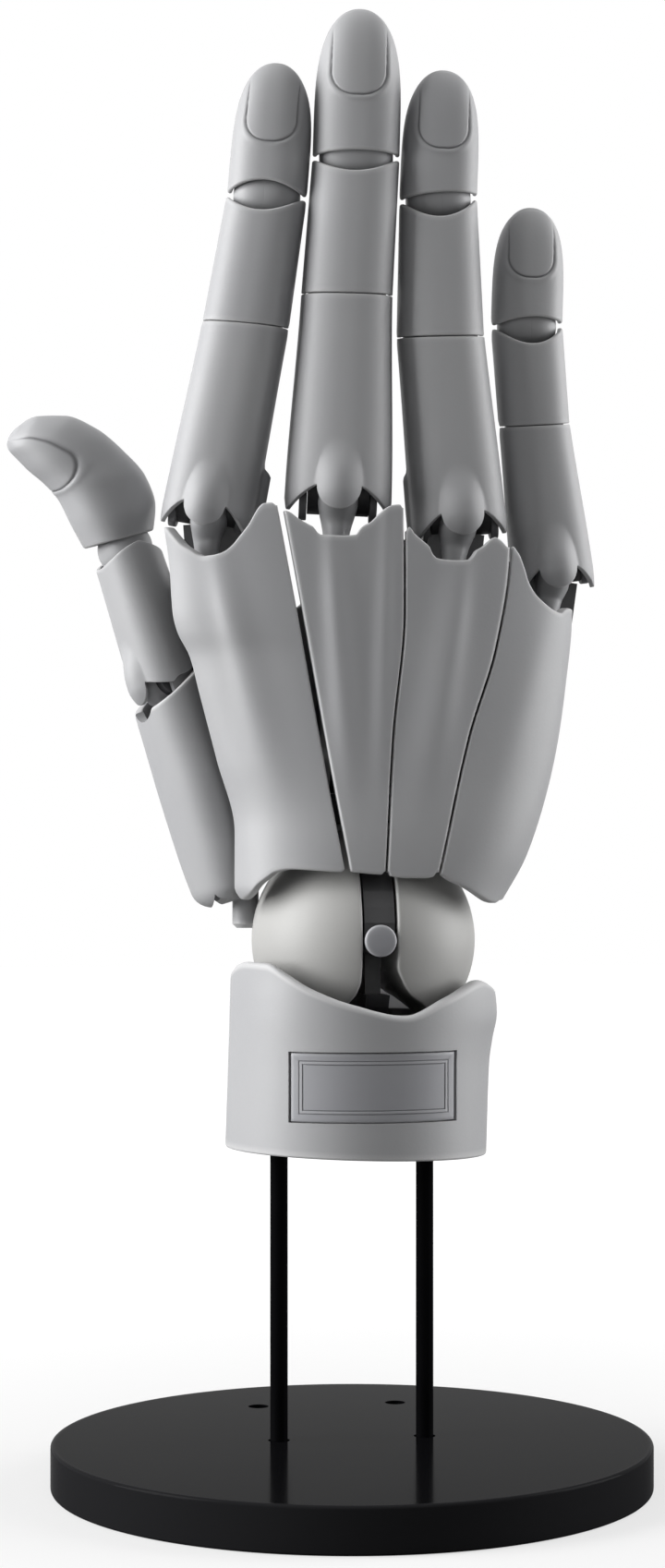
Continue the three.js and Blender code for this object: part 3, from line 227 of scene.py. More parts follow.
# Thumb; a row of its tip holds (nail x, nail z, pulp x, pulp z, half width)
THUMB = {
    "y": 5, "roll": -70, "joints": [(-25.95, 114.75), (-32, 133.2)], "widths": [11.5, 10.3],
    "dome": 2.6, "top_arch": 1, "fold_slope": 0.5, "rims": {"corner": -0.9, "side": -0.2, "palm": 5.2}}
THUMB_END_LEAN = -21
THUMB_TIP_ROWS = [
    (-37.5, 133.1, -28.3, 135.9, 5.3), (-39.4, 136.3, -27.9, 139.6, 5.7),
    (-41.5, 140.2, -29.2, 143.6, 5.7), (-43.3, 142.2, -32.4, 147.2, 5.5),
    (-45.2, 143.9, -36.5, 150.4, 5.2), (-46.8, 145.7, -40.8, 152, 4.5),
    (-48, 147.2, -44.6, 151.8, 3.2), (-48.4, 148.4, -47.2, 150.2, 1.2)]
THUMB_NAIL = {"half": 5.1, "low": 7, "top": 21.2}
THUMB_NAIL_SPREAD = 5.5
THUMB_ROW_STEP = 3
THUMB_LIP_STEP = 3.5
THUMB_ROOT = (-17.2, 5, 86)
THUMB_SWING_AXIS = (-14.5, 7)
THUMB_SHAFT_RADIUS = 1.9
THUMB_SHAFT_FOOT = 79.1
THUMB_ROOT_RADIUS = 3.1
THUMB_SHELL_FOOT = 3.6
THUMB_SHELL_HALF = [(-3.6, 3.6), (-2.8, 5), (0, 6.4), (5, 7), (14, 7.2), (22, 6.8), (34, 6.4)]
THUMB_SHELL_BACK = [(-3.6, 3), (-2.8, 4.4), (0, 5.2), (8, 5.4), (34, 5.5)]
THUMB_SHELL_PULP = [(-3.6, 1.2), (-2.8, 2.4), (0, 4.1), (4, 6.2), (8, 7.6), (18, 7.2), (34, 6.2)]
THUMB_SHELL_WALL = 1.3
THUMB_RIM_FRONT = -7.7
THUMB_RIM_BACK = 5.55
THUMB_RIM_REACH = 14
THUMB_NOTCH_DROP = 1.5
THUMB_OPENING_TOP = 103.5
THUMB_OPENING_REACH = 14


def mix(a, b, share):
    return a + (b - a) * share


def look_up(table, at):
    """Value of a table of rows, straight between its rows."""
    if at <= table[0][0]:
        return table[0][1]
    if at >= table[-1][0]:
        return table[-1][1]
    i = next(k for k, row in enumerate(table) if row[0] >= at)
    (x0, y0), (x1, y1) = table[i - 1][:2], table[i][:2]
    return mix(y0, y1, (at - x0) / (x1 - x0))


def soft_curve(table):
    """Smooth line through the rows of a table that never swings past them."""
    xs = [row[0] for row in table]
    ys = [row[1] for row in table]
    rises = [(b[1] - a[1]) / (b[0] - a[0]) for a, b in zip(table, table[1:])]
    middle = [0 if p * q <= 0 else 2 * p * q / (p + q) for p, q in zip(rises, rises[1:])]
    slopes = [rises[0]] + middle + [rises[-1]]

    def at(x):
        if x <= xs[0]:
            return ys[0]
        if x >= xs[-1]:
            return ys[-1]
        i = bisect_right(xs, x) - 1
        span = xs[i + 1] - xs[i]
        t = (x - xs[i]) / span
        return (ys[i] * (1 + 2 * t) * (1 - t) ** 2 + slopes[i] * span * t * (1 - t) ** 2
                + ys[i + 1] * t * t * (3 - 2 * t) + slopes[i + 1] * span * t * t * (t - 1))
    return at


def ease(share):
    s = min(max(share, 0), 1)
    return s * s * (3 - 2 * s)


def shares(count):
    return [i / count for i in range(count + 1)]


def even_angles(count):
    return [2 * math.pi * i / count for i in range(count)]


def quarter_turn(steps):
    return [math.pi / 2 * k / steps for k in range(steps + 1)]


def section_point(half_width, half_depth, angle, power=SECTION_POWER):
    """Point of a rounded section: angle 0 faces the back of the hand, a quarter turn the right."""
    s, c = math.sin(angle), math.cos(angle)
    reach = (abs(s / half_width) ** power + abs(c / half_depth) ** power) ** (-1 / power)
    return reach * s, -reach * c


def place_at(position, lean, roll):
    turn = Matrix.Rotation(lean, 4, "Y") @ Matrix.Rotation(math.radians(roll), 4, "Z")
    return Matrix.Translation(position) @ turn


def lean_between(a, b):
    return math.atan2(b[0] - a[0], b[1] - a[1])


def lip_path(wall, lip, turns=3):
    """Steps over a rounded rim from outside to inside, as (distance from the rim, inset)."""
    outer = [(lip * (1 - math.sin(a)), lip * (1 - math.cos(a))) for a in quarter_turn(turns)]
    inner = [(back, wall - inset) for back, inset in reversed(outer)]
    return outer + inner


# Meshes are made as (points, faces, share of rim at each point); the share of rim paints a highlight along
# rims into the colour, and below zero it paints shade
def loft(rows, joined=False, capped=False):
    """Closed rings, each with its share of rim; joined closes the loft into a hollow band."""
    count = len(rows[0][1])
    points = [p for _, ring in rows for p in ring]
    rim = [share for share, ring in rows for _ in ring]
    pairs = list(zip(range(len(rows)), range(1, len(rows))))
    if joined:
        pairs.append((len(rows) - 1, 0))
    faces = []
    for a, b in pairs:
        for i in range(count):
            j = (i + 1) % count
            faces.append((a * count + i, a * count + j, b * count + j, b * count + i))
    if capped:
        for row in (0, len(rows) - 1):
            share, ring = rows[row]
            points.append(tuple(sum(p[k] for p in ring) / count for k in range(3)))
            rim.append(share)
            for i in range(count):
                faces.append((row * count + i, row * count + (i + 1) % count, len(points) - 1))
    return points, faces, rim


def plate(surface, across, up, wall, lip):
    """Closed plate with rounded edges; surface(u, v, inset) gives its points."""
    def length(line):
        return sum(math.dist(p, q) for p, q in zip(line, line[1:]))
    widths = [(v, length([surface(u, v, 0) for u in shares(8)])) for v in shares(4)]
    heights = [(u, length([surface(u, v, 0) for v in shares(8)])) for u in shares(4)]

    def point(u, v, back, inset):
        edge_u = back / look_up(widths, v)
        edge_v = back / look_up(heights, u)
        return surface(edge_u + (1 - 2 * edge_u) * u, edge_v + (1 - 2 * edge_v) * v, inset)

    columns, levels = len(across), len(up)
    border = ([(i, 0) for i in range(columns)] + [(columns - 1, j) for j in range(1, levels)]
              + [(i, levels - 1) for i in range(columns - 2, -1, -1)]
              + [(0, j) for j in range(levels - 2, 0, -1)])
    points, faces, rim = [], [], []

    def grid(inset):
        start = len(points)
        for j, v in enumerate(up):
            for i, u in enumerate(across):
                points.append(point(u, v, lip, inset))
                rim.append(0.5 if i in (0, columns - 1) or j in (0, levels - 1) else 0)
        for j in range(levels - 1):
            for i in range(columns - 1):
                a = start + j * columns + i
                faces.append((a, a + 1, a + columns + 1, a + columns))
        return [start + j * columns + i for i, j in border]

    outer = grid(0)
    inner = grid(wall)
    loops = [outer]
    for back, inset in lip_path(wall, lip)[1:-1]:
        start = len(points)
        points.extend(point(across[i], up[j], back, inset) for i, j in border)
        rim.extend([1] * len(border))
        loops.append(list(range(start, start + len(border))))
    loops.append(inner)
    for near, far in zip(loops, loops[1:]):
        for i in range(len(border)):
            j = (i + 1) % len(border)
            faces.append((near[i], near[j], far[j], far[i]))
    return points, faces, rim


def together(*meshes):
    points, faces, rim = [], [], []
    for some_points, some_faces, some_rim in meshes:
        start = len(points)
        points.extend(some_points)
        faces.extend(tuple(start + i for i in face) for face in some_faces)
        rim.extend(some_rim)
    return points, faces, rim


def moved(mesh, matrix):
    points, faces, rim = mesh
    return [tuple(matrix @ Vector(p)) for p in points], faces, rim


def rod(axis, at, low, high, radius, sides=48, chamfer=0.15):
    """Rod along an axis with softened ends."""
    def ring(along, r):
        spots = [(r * math.cos(a), r * math.sin(a)) for a in even_angles(sides)]
        if axis == "x":
            return [(along, at[1] + p, at[2] + q) for p, q in spots]
        if axis == "y":
            return [(at[0] + p, along, at[2] + q) for p, q in spots]
        return [(at[0] + p, at[1] + q, along) for p, q in spots]
    rows = [(0, ring(low, radius * 0.5)), (1, ring(low, radius - chamfer)),
            (1, ring(low + chamfer, radius)), (0, ring(low + 2 * chamfer, radius)),
            (0, ring(high - 2 * chamfer, radius)), (1, ring(high - chamfer, radius)),
            (1, ring(high, radius - chamfer)), (0, ring(high, radius * 0.5))]
    return loft(rows, capped=True)


def slab_faces(wide, tall):
    """Faces of a slab: its points are a front grid, row by row, and then the same grid behind."""
    faces = []
    behind = wide * tall
    for j in range(tall - 1):
        for i in range(wide - 1):
            a = j * wide + i
            b = behind + a
            faces.append((a, a + 1, a + wide + 1, a + wide))
            faces.append((b, b + wide, b + wide + 1, b + 1))
    border = [(i, 0) for i in range(wide - 1)] + [(wide - 1, j) for j in range(tall - 1)]
    border += [(i, tall - 1) for i in range(wide - 1, 0, -1)] + [(0, j) for j in range(tall - 1, 0, -1)]
    for p, q in zip(border, border[1:] + border[:1]):
        a, b = p[1] * wide + p[0], q[1] * wide + q[0]
        faces.append((a, b, b + behind, a + behind))
    return faces


def block(low, high):
    points = [(x, y, z) for z in (low[2], high[2]) for y in (low[1], high[1]) for x in (low[0], high[0])]
    faces = [(0, 1, 3, 2), (4, 6, 7, 5), (0, 4, 5, 1), (2, 3, 7, 6), (0, 2, 6, 4), (1, 5, 7, 3)]
    return points, faces, [0] * 8


# Node groups and materials
NUMBER = "NodeSocketFloat"
TINT = "NodeSocketColor"


def node_group(name, inputs, outputs):
    """Shader group with its named sockets; each input comes with its kind and value."""
    group = bpy.data.node_groups.new(name, "ShaderNodeTree")
    for socket_name, kind, value in inputs:
        socket = group.interface.new_socket(name=socket_name, in_out="INPUT", socket_type=kind)
        socket.default_value = value
    for socket_name, kind in outputs:
        group.interface.new_socket(name=socket_name, in_out="OUTPUT", socket_type=kind)
    return group


def add_node(tree, kind, **values):
    """Node with values on its sockets; an underscore stands for a space in a socket's name."""
    node = tree.nodes.new(kind)
    for socket, value in values.items():
        node.inputs[socket.replace("_", " ")].default_value = value
    return node


def add_maths(tree, operation, first, second, clamp=False):
    """Result of a Math node on two sockets, or on a socket and a number."""
    node = tree.nodes.new("ShaderNodeMath")
    node.operation = operation
    node.use_clamp = clamp
    tree.links.new(first, node.inputs[0])
    if isinstance(second, (int, float)):
        node.inputs[1].default_value = second
    else:
        tree.links.new(second, node.inputs[1])
    return node.outputs["Value"]


def add_colour_mix(tree, share, first, second):
    """Mix of two colour sockets by the share that a third one gives."""
    node = tree.nodes.new("ShaderNodeMix")
    node.data_type = "RGBA"
    tree.links.new(share, node.inputs["Factor"])
    tree.links.new(first, node.inputs[6])
    tree.links.new(second, node.inputs[7])
    return node.outputs[2]


def moulded_grain_group():
    """Fine grain, slow clouds and the rim mask for painted rim highlights and groove shade of a moulded
    surface.
    """
    group = node_group(
        "moulded grain",
        [("Grain Scale", NUMBER, 2600), ("Cloud Scale", NUMBER, 45),
         ("Roughness Low", NUMBER, 0.5), ("Roughness High", NUMBER, 0.6)],
        [("Height", NUMBER), ("Cloud", NUMBER), ("Rim", NUMBER), ("Roughness", NUMBER)])
    link_up = group.links.new
    given = add_node(group, "NodeGroupInput").outputs
    result = add_node(group, "NodeGroupOutput").inputs
    place = add_node(group, "ShaderNodeTexCoord")
    grain = add_node(group, "ShaderNodeTexNoise", Detail=3, Roughness=0.6)
    cloud = add_node(group, "ShaderNodeTexNoise", Detail=4, Roughness=0.55)
    for noise, scale in ((grain, "Grain Scale"), (cloud, "Cloud Scale")):
        link_up(place.outputs["Object"], noise.inputs["Vector"])
        link_up(given[scale], noise.inputs["Scale"])
    spread = add_node(group, "ShaderNodeMapRange", From_Min=0.35, From_Max=0.65)
    link_up(cloud.outputs["Fac"], spread.inputs["Value"])
    rough = add_node(group, "ShaderNodeMapRange", From_Min=0.3, From_Max=0.7)
    link_up(grain.outputs["Fac"], rough.inputs["Value"])
    link_up(given["Roughness Low"], rough.inputs["To Min"])
    link_up(given["Roughness High"], rough.inputs["To Max"])
    rim = add_node(group, "ShaderNodeAttribute")
    rim.attribute_name = "rim"
    link_up(grain.outputs["Fac"], result["Height"])
    link_up(spread.outputs["Result"], result["Cloud"])
    link_up(rim.outputs["Fac"], result["Rim"])
    link_up(rough.outputs["Result"], result["Roughness"])
    return group


def moulded_colour_group():
    """Base colour drifting a little with the clouds, with a painted highlight along rims and painted shade
    in grooves.
    """
    group = node_group(
        "moulded colour",
        [("Colour", TINT, (0.4, 0.4, 0.4, 1)), ("Cloud Colour", TINT, (0.36, 0.36, 0.37, 1)),
         ("Rim Colour", TINT, (0.6, 0.6, 0.6, 1)), ("Rim Highlight Strength", NUMBER, 0.4),
         ("Groove Shade Colour", TINT, (0.06, 0.06, 0.065, 1)), ("Cloud", NUMBER, 0), ("Rim", NUMBER, 0)],
        [("Colour", TINT)])
    given = add_node(group, "NodeGroupInput").outputs
    result = add_node(group, "NodeGroupOutput").inputs
    clouded = add_colour_mix(group, given["Cloud"], given["Colour"], given["Cloud Colour"])
    # Painted highlight: the rim mask mixes the paler rim colour in along rims and edges
    strength = add_maths(group, "MULTIPLY", given["Rim"], given["Rim Highlight Strength"], clamp=True)
    with_rim_highlight = add_colour_mix(group, strength, clouded, given["Rim Colour"])
    # Painted shade: where the mask falls below zero, the groove shade colour darkens the fine grooves
    hollow = add_maths(group, "MULTIPLY", given["Rim"], -1, clamp=True)
    grooved = add_colour_mix(group, hollow, with_rim_highlight, given["Groove Shade Colour"])
    group.links.new(grooved, result["Colour"])
    return group


GRAIN = moulded_grain_group()
COLOUR = moulded_colour_group()


def moulded_material(name, colour, cloud_colour, rim_highlight_colour, rim_highlight_strength, rough, bump, **shader):
    """Plastic from the two groups; bump is the depth of its grain in millimetres."""
    material = bpy.data.materials.new(name)
    material.use_nodes = True
    tree = material.node_tree
    link_up = tree.links.new
    plastic = tree.nodes["Principled BSDF"]
    grain = tree.nodes.new("ShaderNodeGroup")
    grain.node_tree = GRAIN
    grain.inputs["Roughness Low"].default_value, grain.inputs["Roughness High"].default_value = rough
    tint = tree.nodes.new("ShaderNodeGroup")
    tint.node_tree = COLOUR
    for socket, value in (("Colour", colour), ("Cloud Colour", cloud_colour), ("Rim Colour", rim_highlight_colour)):
        tint.inputs[socket].default_value = (*value, 1)
    tint.inputs["Rim Highlight Strength"].default_value = rim_highlight_strength
    relief = add_node(tree, "ShaderNodeBump", Strength=0.6, Distance=bump * MM)
    link_up(grain.outputs["Cloud"], tint.inputs["Cloud"])
    link_up(grain.outputs["Rim"], tint.inputs["Rim"])
    link_up(grain.outputs["Height"], relief.inputs["Height"])
    link_up(tint.outputs["Colour"], plastic.inputs["Base Color"])
    link_up(grain.outputs["Roughness"], plastic.inputs["Roughness"])
    link_up(relief.outputs["Normal"], plastic.inputs["Normal"])
    for socket, value in shader.items():
        plastic.inputs[socket.replace("_", " ")].default_value = value
    return material


# The rim colour of each material is a painted highlight along its rims and edges
GREY = moulded_material(
    "matte grey moulding", (0.37, 0.372, 0.38), (0.352, 0.354, 0.365), (0.6, 0.6, 0.6), 0.45,
    (0.46, 0.56), 0.02)
PALE = moulded_material(
    "pale grey moulding", (0.4, 0.398, 0.388), (0.385, 0.383, 0.374), (0.66, 0.66, 0.65), 0.45,
    (0.46, 0.56), 0.02)
PLATE = moulded_material(
    "name plate moulding", (0.3, 0.303, 0.32), (0.285, 0.288, 0.31), (0.5, 0.5, 0.52), 0.5,
    (0.4, 0.5), 0.015)
# Dark plastic, darkened further as painted shade for the hollows, gaps and parts seen only in shadow
DARK_WITH_PAINTED_SHADE = moulded_material(
    "dark inner moulding with painted shade", (0.03, 0.03, 0.032), (0.024, 0.024, 0.026), (0.08, 0.08, 0.085), 0.5,
    (0.42, 0.52), 0.03)
# Shell grey darkened as painted shade for the fork cheeks deep in the knuckle
FORK = moulded_material(
    "fork moulding with painted shade", (0.17, 0.17, 0.175), (0.15, 0.15, 0.157), (0.3, 0.3, 0.3), 0.4,
    (0.46, 0.56), 0.02)
GLOSS = moulded_material(
    "black gloss lacquer", (0.004, 0.004, 0.0045), (0.003, 0.003, 0.0035), (0.03, 0.03, 0.032), 0.4,
    (0.12, 0.17), 0.002, Specular_IOR_Level=0.002, Coat_Weight=0.025, Coat_Roughness=0.04)


def mesh_data(name, points, faces):
    """Mesh in metres with its normals facing out."""
    data = bpy.data.meshes.new(name)
    data.from_pydata([(x * MM, y * MM, z * MM) for x, y, z in points], [], faces)
    shape = bmesh.new()
    shape.from_mesh(data)
    bmesh.ops.recalc_face_normals(shape, faces=shape.faces)
    shape.to_mesh(data)
    shape.free()
    return data


def smooth(piece):
    """Smooth shading that keeps sharp edges and follows the larger faces."""
    piece.data.polygons.foreach_set("use_smooth", [True] * len(piece.data.polygons))
    piece.data.set_sharp_from_angle(angle=SHARP_ANGLE)
    weighted = piece.modifiers.new("weighted normals", "WEIGHTED_NORMAL")
    weighted.keep_sharp = True


def add_piece(name, mesh, material, body, *nodes):
    """One finished piece on its body, in place of the plain solids that it stands for."""
    points, faces, rim = mesh
    data = mesh_data(name, points, faces)
    mask = data.attributes.new("rim", "FLOAT", "POINT")
    mask.data.foreach_set("value", rim)
    data.materials.append(material)
    piece = bpy.data.objects.new(name, data)
    bpy.context.scene.collection.objects.link(piece)
    smooth(piece)
    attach(piece, body)
    if nodes:
        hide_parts(*nodes)
    return piece


def carve(piece, *cutters):
    """Cuts the cutters out of a piece and drops them."""
    piece.modifiers.clear()
    for points, faces, _ in cutters:
        data = mesh_data("cutter", points, faces)
        tool = bpy.data.objects.new("cutter", data)
        bpy.context.scene.collection.objects.link(tool)
        cut = piece.modifiers.new("cut", "BOOLEAN")
        cut.operation = "DIFFERENCE"
        cut.solver = "EXACT"
        cut.object = tool
        depsgraph = bpy.context.evaluated_depsgraph_get()
        result = bpy.data.meshes.new_from_object(piece.evaluated_get(depsgraph))
        piece.modifiers.remove(cut)
        old = piece.data
        piece.data = result
        bpy.data.meshes.remove(old)
        bpy.data.objects.remove(tool)
        bpy.data.meshes.remove(data)
    smooth(piece)


# Stand
def make_stand():
    r, t, b = DISC_RADIUS, DISC_THICKNESS, DISC_BEVEL
    low = [(r - b + b * math.sin(a), b - b * math.cos(a)) for a in quarter_turn(5)]
    high = [(r - b + b * math.cos(a), t - b + b * math.sin(a)) for a in quarter_turn(5)]
    profile = [(0, r * 0.3, 0), (0, r - 2 * b, 0)] + [(1, x, z) for x, z in low + high]
    profile += [(0, r - 2 * b, t), (0, r * 0.9, t), (0, r * 0.3, t)]
    rows = [(rim, [(x * math.cos(a), x * math.sin(a), z) for a in even_angles(192)])
            for rim, x, z in profile]
    disc = add_piece("stand_disc", loft(rows, capped=True), GLOSS, "stand", "base_disc")
    socket_floor = t - POST_SOCKET_DEPTH
    for x in (-POST_SPACING / 2, POST_SPACING / 2):
        for y in (0, SPARE_SOCKET_OFFSET):
            carve(disc, rod("z", (x, y, 0), socket_floor, t + 2, POST_RADIUS + SEAT_GAP))
    for name, x in (("post_left", -POST_SPACING / 2), ("post_right", POST_SPACING / 2)):
        post = rod("z", (x, 0, 0), socket_floor + SEAT_GAP, POST_TOP, POST_RADIUS, 40, 0.2)
        add_piece(f"{name}_rod", post, GLOSS, "stand", name)


# Cuff
CUFF_LEFT_CURVE = soft_curve(CUFF_LEFT_RADIUS)
CUFF_RIGHT_CURVE = soft_curve(CUFF_RIGHT_RADIUS)
CUFF_RIM_CURVE = soft_curve(CUFF_RIM)


def cuff_point(angle, z, inset):
    """Surface of the cuff at an inset; its left and right sides have their own outlines."""
    side = CUFF_LEFT_CURVE if math.sin(angle) < 0 else CUFF_RIGHT_CURVE
    blend = ease(math.cos(angle) ** 2 * 1.2)
    half_width = mix(side(z), (CUFF_LEFT_CURVE(z) + CUFF_RIGHT_CURVE(z)) / 2, blend)
    x, y = section_point(half_width - inset, CUFF_HALF_DEPTH - inset, angle, 2)
    return x + CUFF_CENTRE, y, z


def cuff_angle(x):
    return math.asin((x - CUFF_CENTRE) / CUFF_HALF_DEPTH)


def plaque_cutter(near, far, across=24, up=2):
    """Curved block that follows the cuff between two insets, as large as the plaque's recess."""
    left, right = cuff_angle(PLAQUE["left"]), cuff_angle(PLAQUE["right"])
    points = []
    for inset in (near, far):
        for v in shares(up):
            z = mix(PLAQUE["bottom"], PLAQUE["top"], v)
            points.extend(cuff_point(mix(left, right, u), z, inset) for u in shares(across))
    return points, slab_faces(across + 1, up + 1), [0] * len(points)


def make_cuff():
    angles = [math.radians(-180 + 360 * i / 180) for i in range(180)]

    def ring(share, back, inset):
        """Ring at a share of the height, from the outside at inset 0 to the bore at inset 1."""
        points = []
        for angle in angles:
            low = CUFF_BOTTOM - CUFF_BOTTOM_SLOPE * CUFF_HALF_DEPTH * math.sin(angle)
            high = CUFF_RIM_CURVE(math.degrees(angle))
            z = mix(low + back, high - back, share)
            x, y, _ = cuff_point(angle, z, 0)
            bore_x = CUFF_CENTRE + CUFF_BORE_RADIUS * math.sin(angle)
            bore_y = -CUFF_BORE_RADIUS * math.cos(angle)
            points.append((mix(x, bore_x, inset), mix(y, bore_y, inset), z))
        return points
    low = [(SOFT_LIP * (1 - math.sin(a)), (1 - math.cos(a)) * 0.18) for a in quarter_turn(4)]
    high = [(CUFF_LIP * (1 - math.sin(a)), (1 - math.cos(a)) * 0.42) for a in quarter_turn(4)]
    rows = [(1, ring(0, back, inset)) for back, inset in reversed(low)]
    rows += [(0, ring(share, 0.7, 0)) for share in (0.02, *shares(24)[1:-1], 0.985)]
    rows += [(1, ring(1, back, inset)) for back, inset in high]
    rows += [(1, ring(1, back, 1 - inset)) for back, inset in reversed(high)]
    rows += [(0, ring(share, 0.7, 1)) for share in (0.97, 0.6, 0.3, 0.03)]
    rows += [(1, ring(0, back, 1 - inset)) for back, inset in low]
    cuff = add_piece("cuff", loft(rows, joined=True), GREY, "cuff", "cuff_shell")
    carve(cuff, plaque_cutter(-1, PLAQUE_DEPTH + PLAQUE_THICKNESS + SEAT_GAP))
    add_plaque()


def add_plaque():
    """Bare plate with a stepped border and a fine bead round its field."""
    left, right = PLAQUE["left"] + SEAT_GAP / 2, PLAQUE["right"] - SEAT_GAP / 2
    bottom, top = PLAQUE["bottom"] + SEAT_GAP / 2, PLAQUE["top"] - SEAT_GAP / 2
    relief = soft_curve([
        (0, -0.12), (0.12, 0), (1, 0), (1.06, -0.07), (1.14, -0.07), (1.2, 0.03), (1.48, 0.03),
        (1.54, -0.07), (1.62, -0.07), (1.68, 0), (6, 0)])
    stops = [0, 0.06, 0.12, 0.5, 1, 1.03, 1.06, 1.14, 1.2, 1.34, 1.48, 1.54, 1.62, 1.68, 2]

    def lines(low, high, count):
        field = [mix(low + 2, high - 2, s) for s in shares(count)[1:-1]]
        return [low + s for s in stops] + field + [high - s for s in reversed(stops)]
    xs, zs = lines(left, right, 24), lines(bottom, top, 6)
    points, rim = [], []
    for z in zs:
        for x in xs:
            edge = min(x - left, right - x, z - bottom, top - z)
            points.append(cuff_point(cuff_angle(x), z, PLAQUE_DEPTH - relief(edge)))
            # Painted highlight on the bead and the outer edge, painted shade in the fine lines beside the
            # bead
            rim.append(0.5 if 1.15 < edge < 1.5 or edge < 0.13 else (-0.6 if 1.05 < edge < 1.65 else 0))
    behind = PLAQUE_DEPTH + PLAQUE_THICKNESS
    points += [cuff_point(cuff_angle(x), z, behind) for z in zs for x in xs]
    rim += [0] * (len(xs) * len(zs))
    add_piece("name_plate", (points, slab_faces(len(xs), len(zs)), rim), PLATE, "cuff", "plaque")


# Wrist
def ball_half(side, slot, foot):
    """Half of the wrist ball, flat at its foot, with a softly rounded edge along the slot."""
    edge_of = soft_curve(slot)
    centre_x, _, centre_z = BALL_CENTRE
    rows = []
    for dz in [mix(foot, BALL_RADIUS * 0.975, s) for s in shares(80)]:
        radius = math.sqrt(BALL_RADIUS ** 2 - dz ** 2)
        edge = min(edge_of(dz), radius * 0.93)
        start = math.asin(edge / radius)
        trim = BALL_LIP / radius
        arc = [mix(start + trim, math.pi - start - trim, s) for s in shares(72)]
        ring = [(0, radius * math.sin(a), -radius * math.cos(a)) for a in arc]
        depth = radius * math.cos(start)
        flat = max(depth - BALL_LIP, depth * 0.4)

        def corner(front):
            outer = (radius * math.sin(start + trim), front * radius * math.cos(start + trim))
            tip = (edge, front * depth)
            inner = (edge, front * flat)
            bend = []
            for s in shares(5)[1:-1]:
                a = [mix(outer[k], tip[k], s) for k in range(2)]
                b = [mix(tip[k], inner[k], s) for k in range(2)]
                bend.append((1, mix(a[0], b[0], s), mix(a[1], b[1], s)))
            return bend
        ring += corner(1)
        ring += [(0, edge, mix(flat, -flat, s)) for s in shares(12)]
        ring += reversed(corner(-1))
        rows.append((dz, ring))
    points = [(centre_x + side * x, y, centre_z + dz) for dz, ring in rows for _, x, y in ring]
    _, faces, _ = loft([(0, ring) for _, ring in rows])
    rim = [share for _, ring in rows for share, _, _ in ring]
    count = len(rows[0][1])
    faces.append(tuple(range(count)))
    faces.append(tuple(range(len(points) - count, len(points))))
    return points, faces, rim


def make_wrist():
    add_piece("ball_left_half", ball_half(-1, SLOT_LEFT, BALL_LEFT_FOOT), PALE, "palm", "ball_left")
    add_piece("ball_right_half", ball_half(1, SLOT_RIGHT, BALL_RIGHT_FOOT), PALE, "palm", "ball_right")
    x, _, z = BALL_CENTRE
    front = -BALL_RADIUS - 0.1
    profile = [
        (0, 0.9, front - 0.12), (0, 1.6, front - 0.08), (0.3, PIN_HEAD_RADIUS - 0.3, front - 0.02),
        (1, PIN_HEAD_RADIUS - 0.12, front + 0.04), (1, PIN_HEAD_RADIUS, front + 0.2),
        (0, PIN_HEAD_RADIUS, front + 0.5), (0, PIN_HEAD_RADIUS, front + PIN_HEAD_HEIGHT),
        (0, PIN_RADIUS, front + PIN_HEAD_HEIGHT + 0.01), (0, PIN_RADIUS, BALL_RADIUS - 1.3),
        (1, PIN_RADIUS - 0.2, BALL_RADIUS - 1.1)]
    rows = [(rim, [(x + r * math.sin(a), y, z + r * math.cos(a)) for a in even_angles(64)])
            for rim, r, y in profile]
    add_piece("headed_wrist_pin", loft(rows, capped=True), PLATE, "palm", "wrist_pin")


# Palm
PALM_CURVES = {
    "left": soft_curve(PALM_LEFT), "right": soft_curve(PALM_RIGHT),
    "back": soft_curve(BACK_DEPTH), "palm": soft_curve(PALM_DEPTH)}


def palm_point(side, angle, z, inset, ridge=0):
    """Outer surface of the palm; side is 1 on the palm side and -1 on the back."""
    left, right = PALM_CURVES["left"](z), PALM_CURVES["right"](z)
    depth = PALM_CURVES["back" if side < 0 else "palm"](z) - inset + ridge
    x, y = section_point((right - left) / 2 - inset, depth, angle, PALM_POWER)
    return x + (left + right) / 2, -side * y, z


def palm_angle(side, x, z, inset=0):
    left, right = PALM_CURVES["left"](z), PALM_CURVES["right"](z)
    half_width = (right - left) / 2 - inset
    share = min(max((x - (left + right) / 2) / half_width, -1), 1)
    drop = (1 - abs(share) ** PALM_POWER) ** (1 / PALM_POWER)
    depth = PALM_CURVES["back" if side < 0 else "palm"](z) - inset
    return math.atan2(share * half_width, depth * drop)


def ridge_rise(digit, x, z):
    """Soft tendon ridges that run from the knuckle to the wrist and fade there."""
    top = digit["joints"][0][1] - 6
    share = (z - RIDGE_FOOT) / (top - RIDGE_FOOT)
    rise = 0
    for foot, head, height, width in digit["ridges"]:
        line = mix(foot, head, share)
        fade = ease((share - 0.02) / 0.5) * (1 - 0.55 * ease((share - 0.75) / 0.25))
        spread = width * mix(1.5, 0.9, share)
        rise += height * fade * math.exp(-(((x - line) / spread) ** 2))
    return rise


SEAM_CURVES = {id(seam): soft_curve(seam) for seam in (
    SEAM_INDEX_MIDDLE, SEAM_MIDDLE_RING, SEAM_RING_LITTLE, INDEX_PALM_EDGE)}


def edge_angle(seam, side, z, gap_side, inset):
    """Angle of a shell's edge; at a seam the cut runs straight from front to back."""
    if seam is None:
        return math.radians(-gap_side * BACK_EDGE_ANGLE)
    gap = INDEX_SEAM_GAP if seam is SEAM_INDEX_MIDDLE else SEAM_GAP
    return palm_angle(side, SEAM_CURVES[id(seam)](z) + gap_side * gap / 2, z, inset)


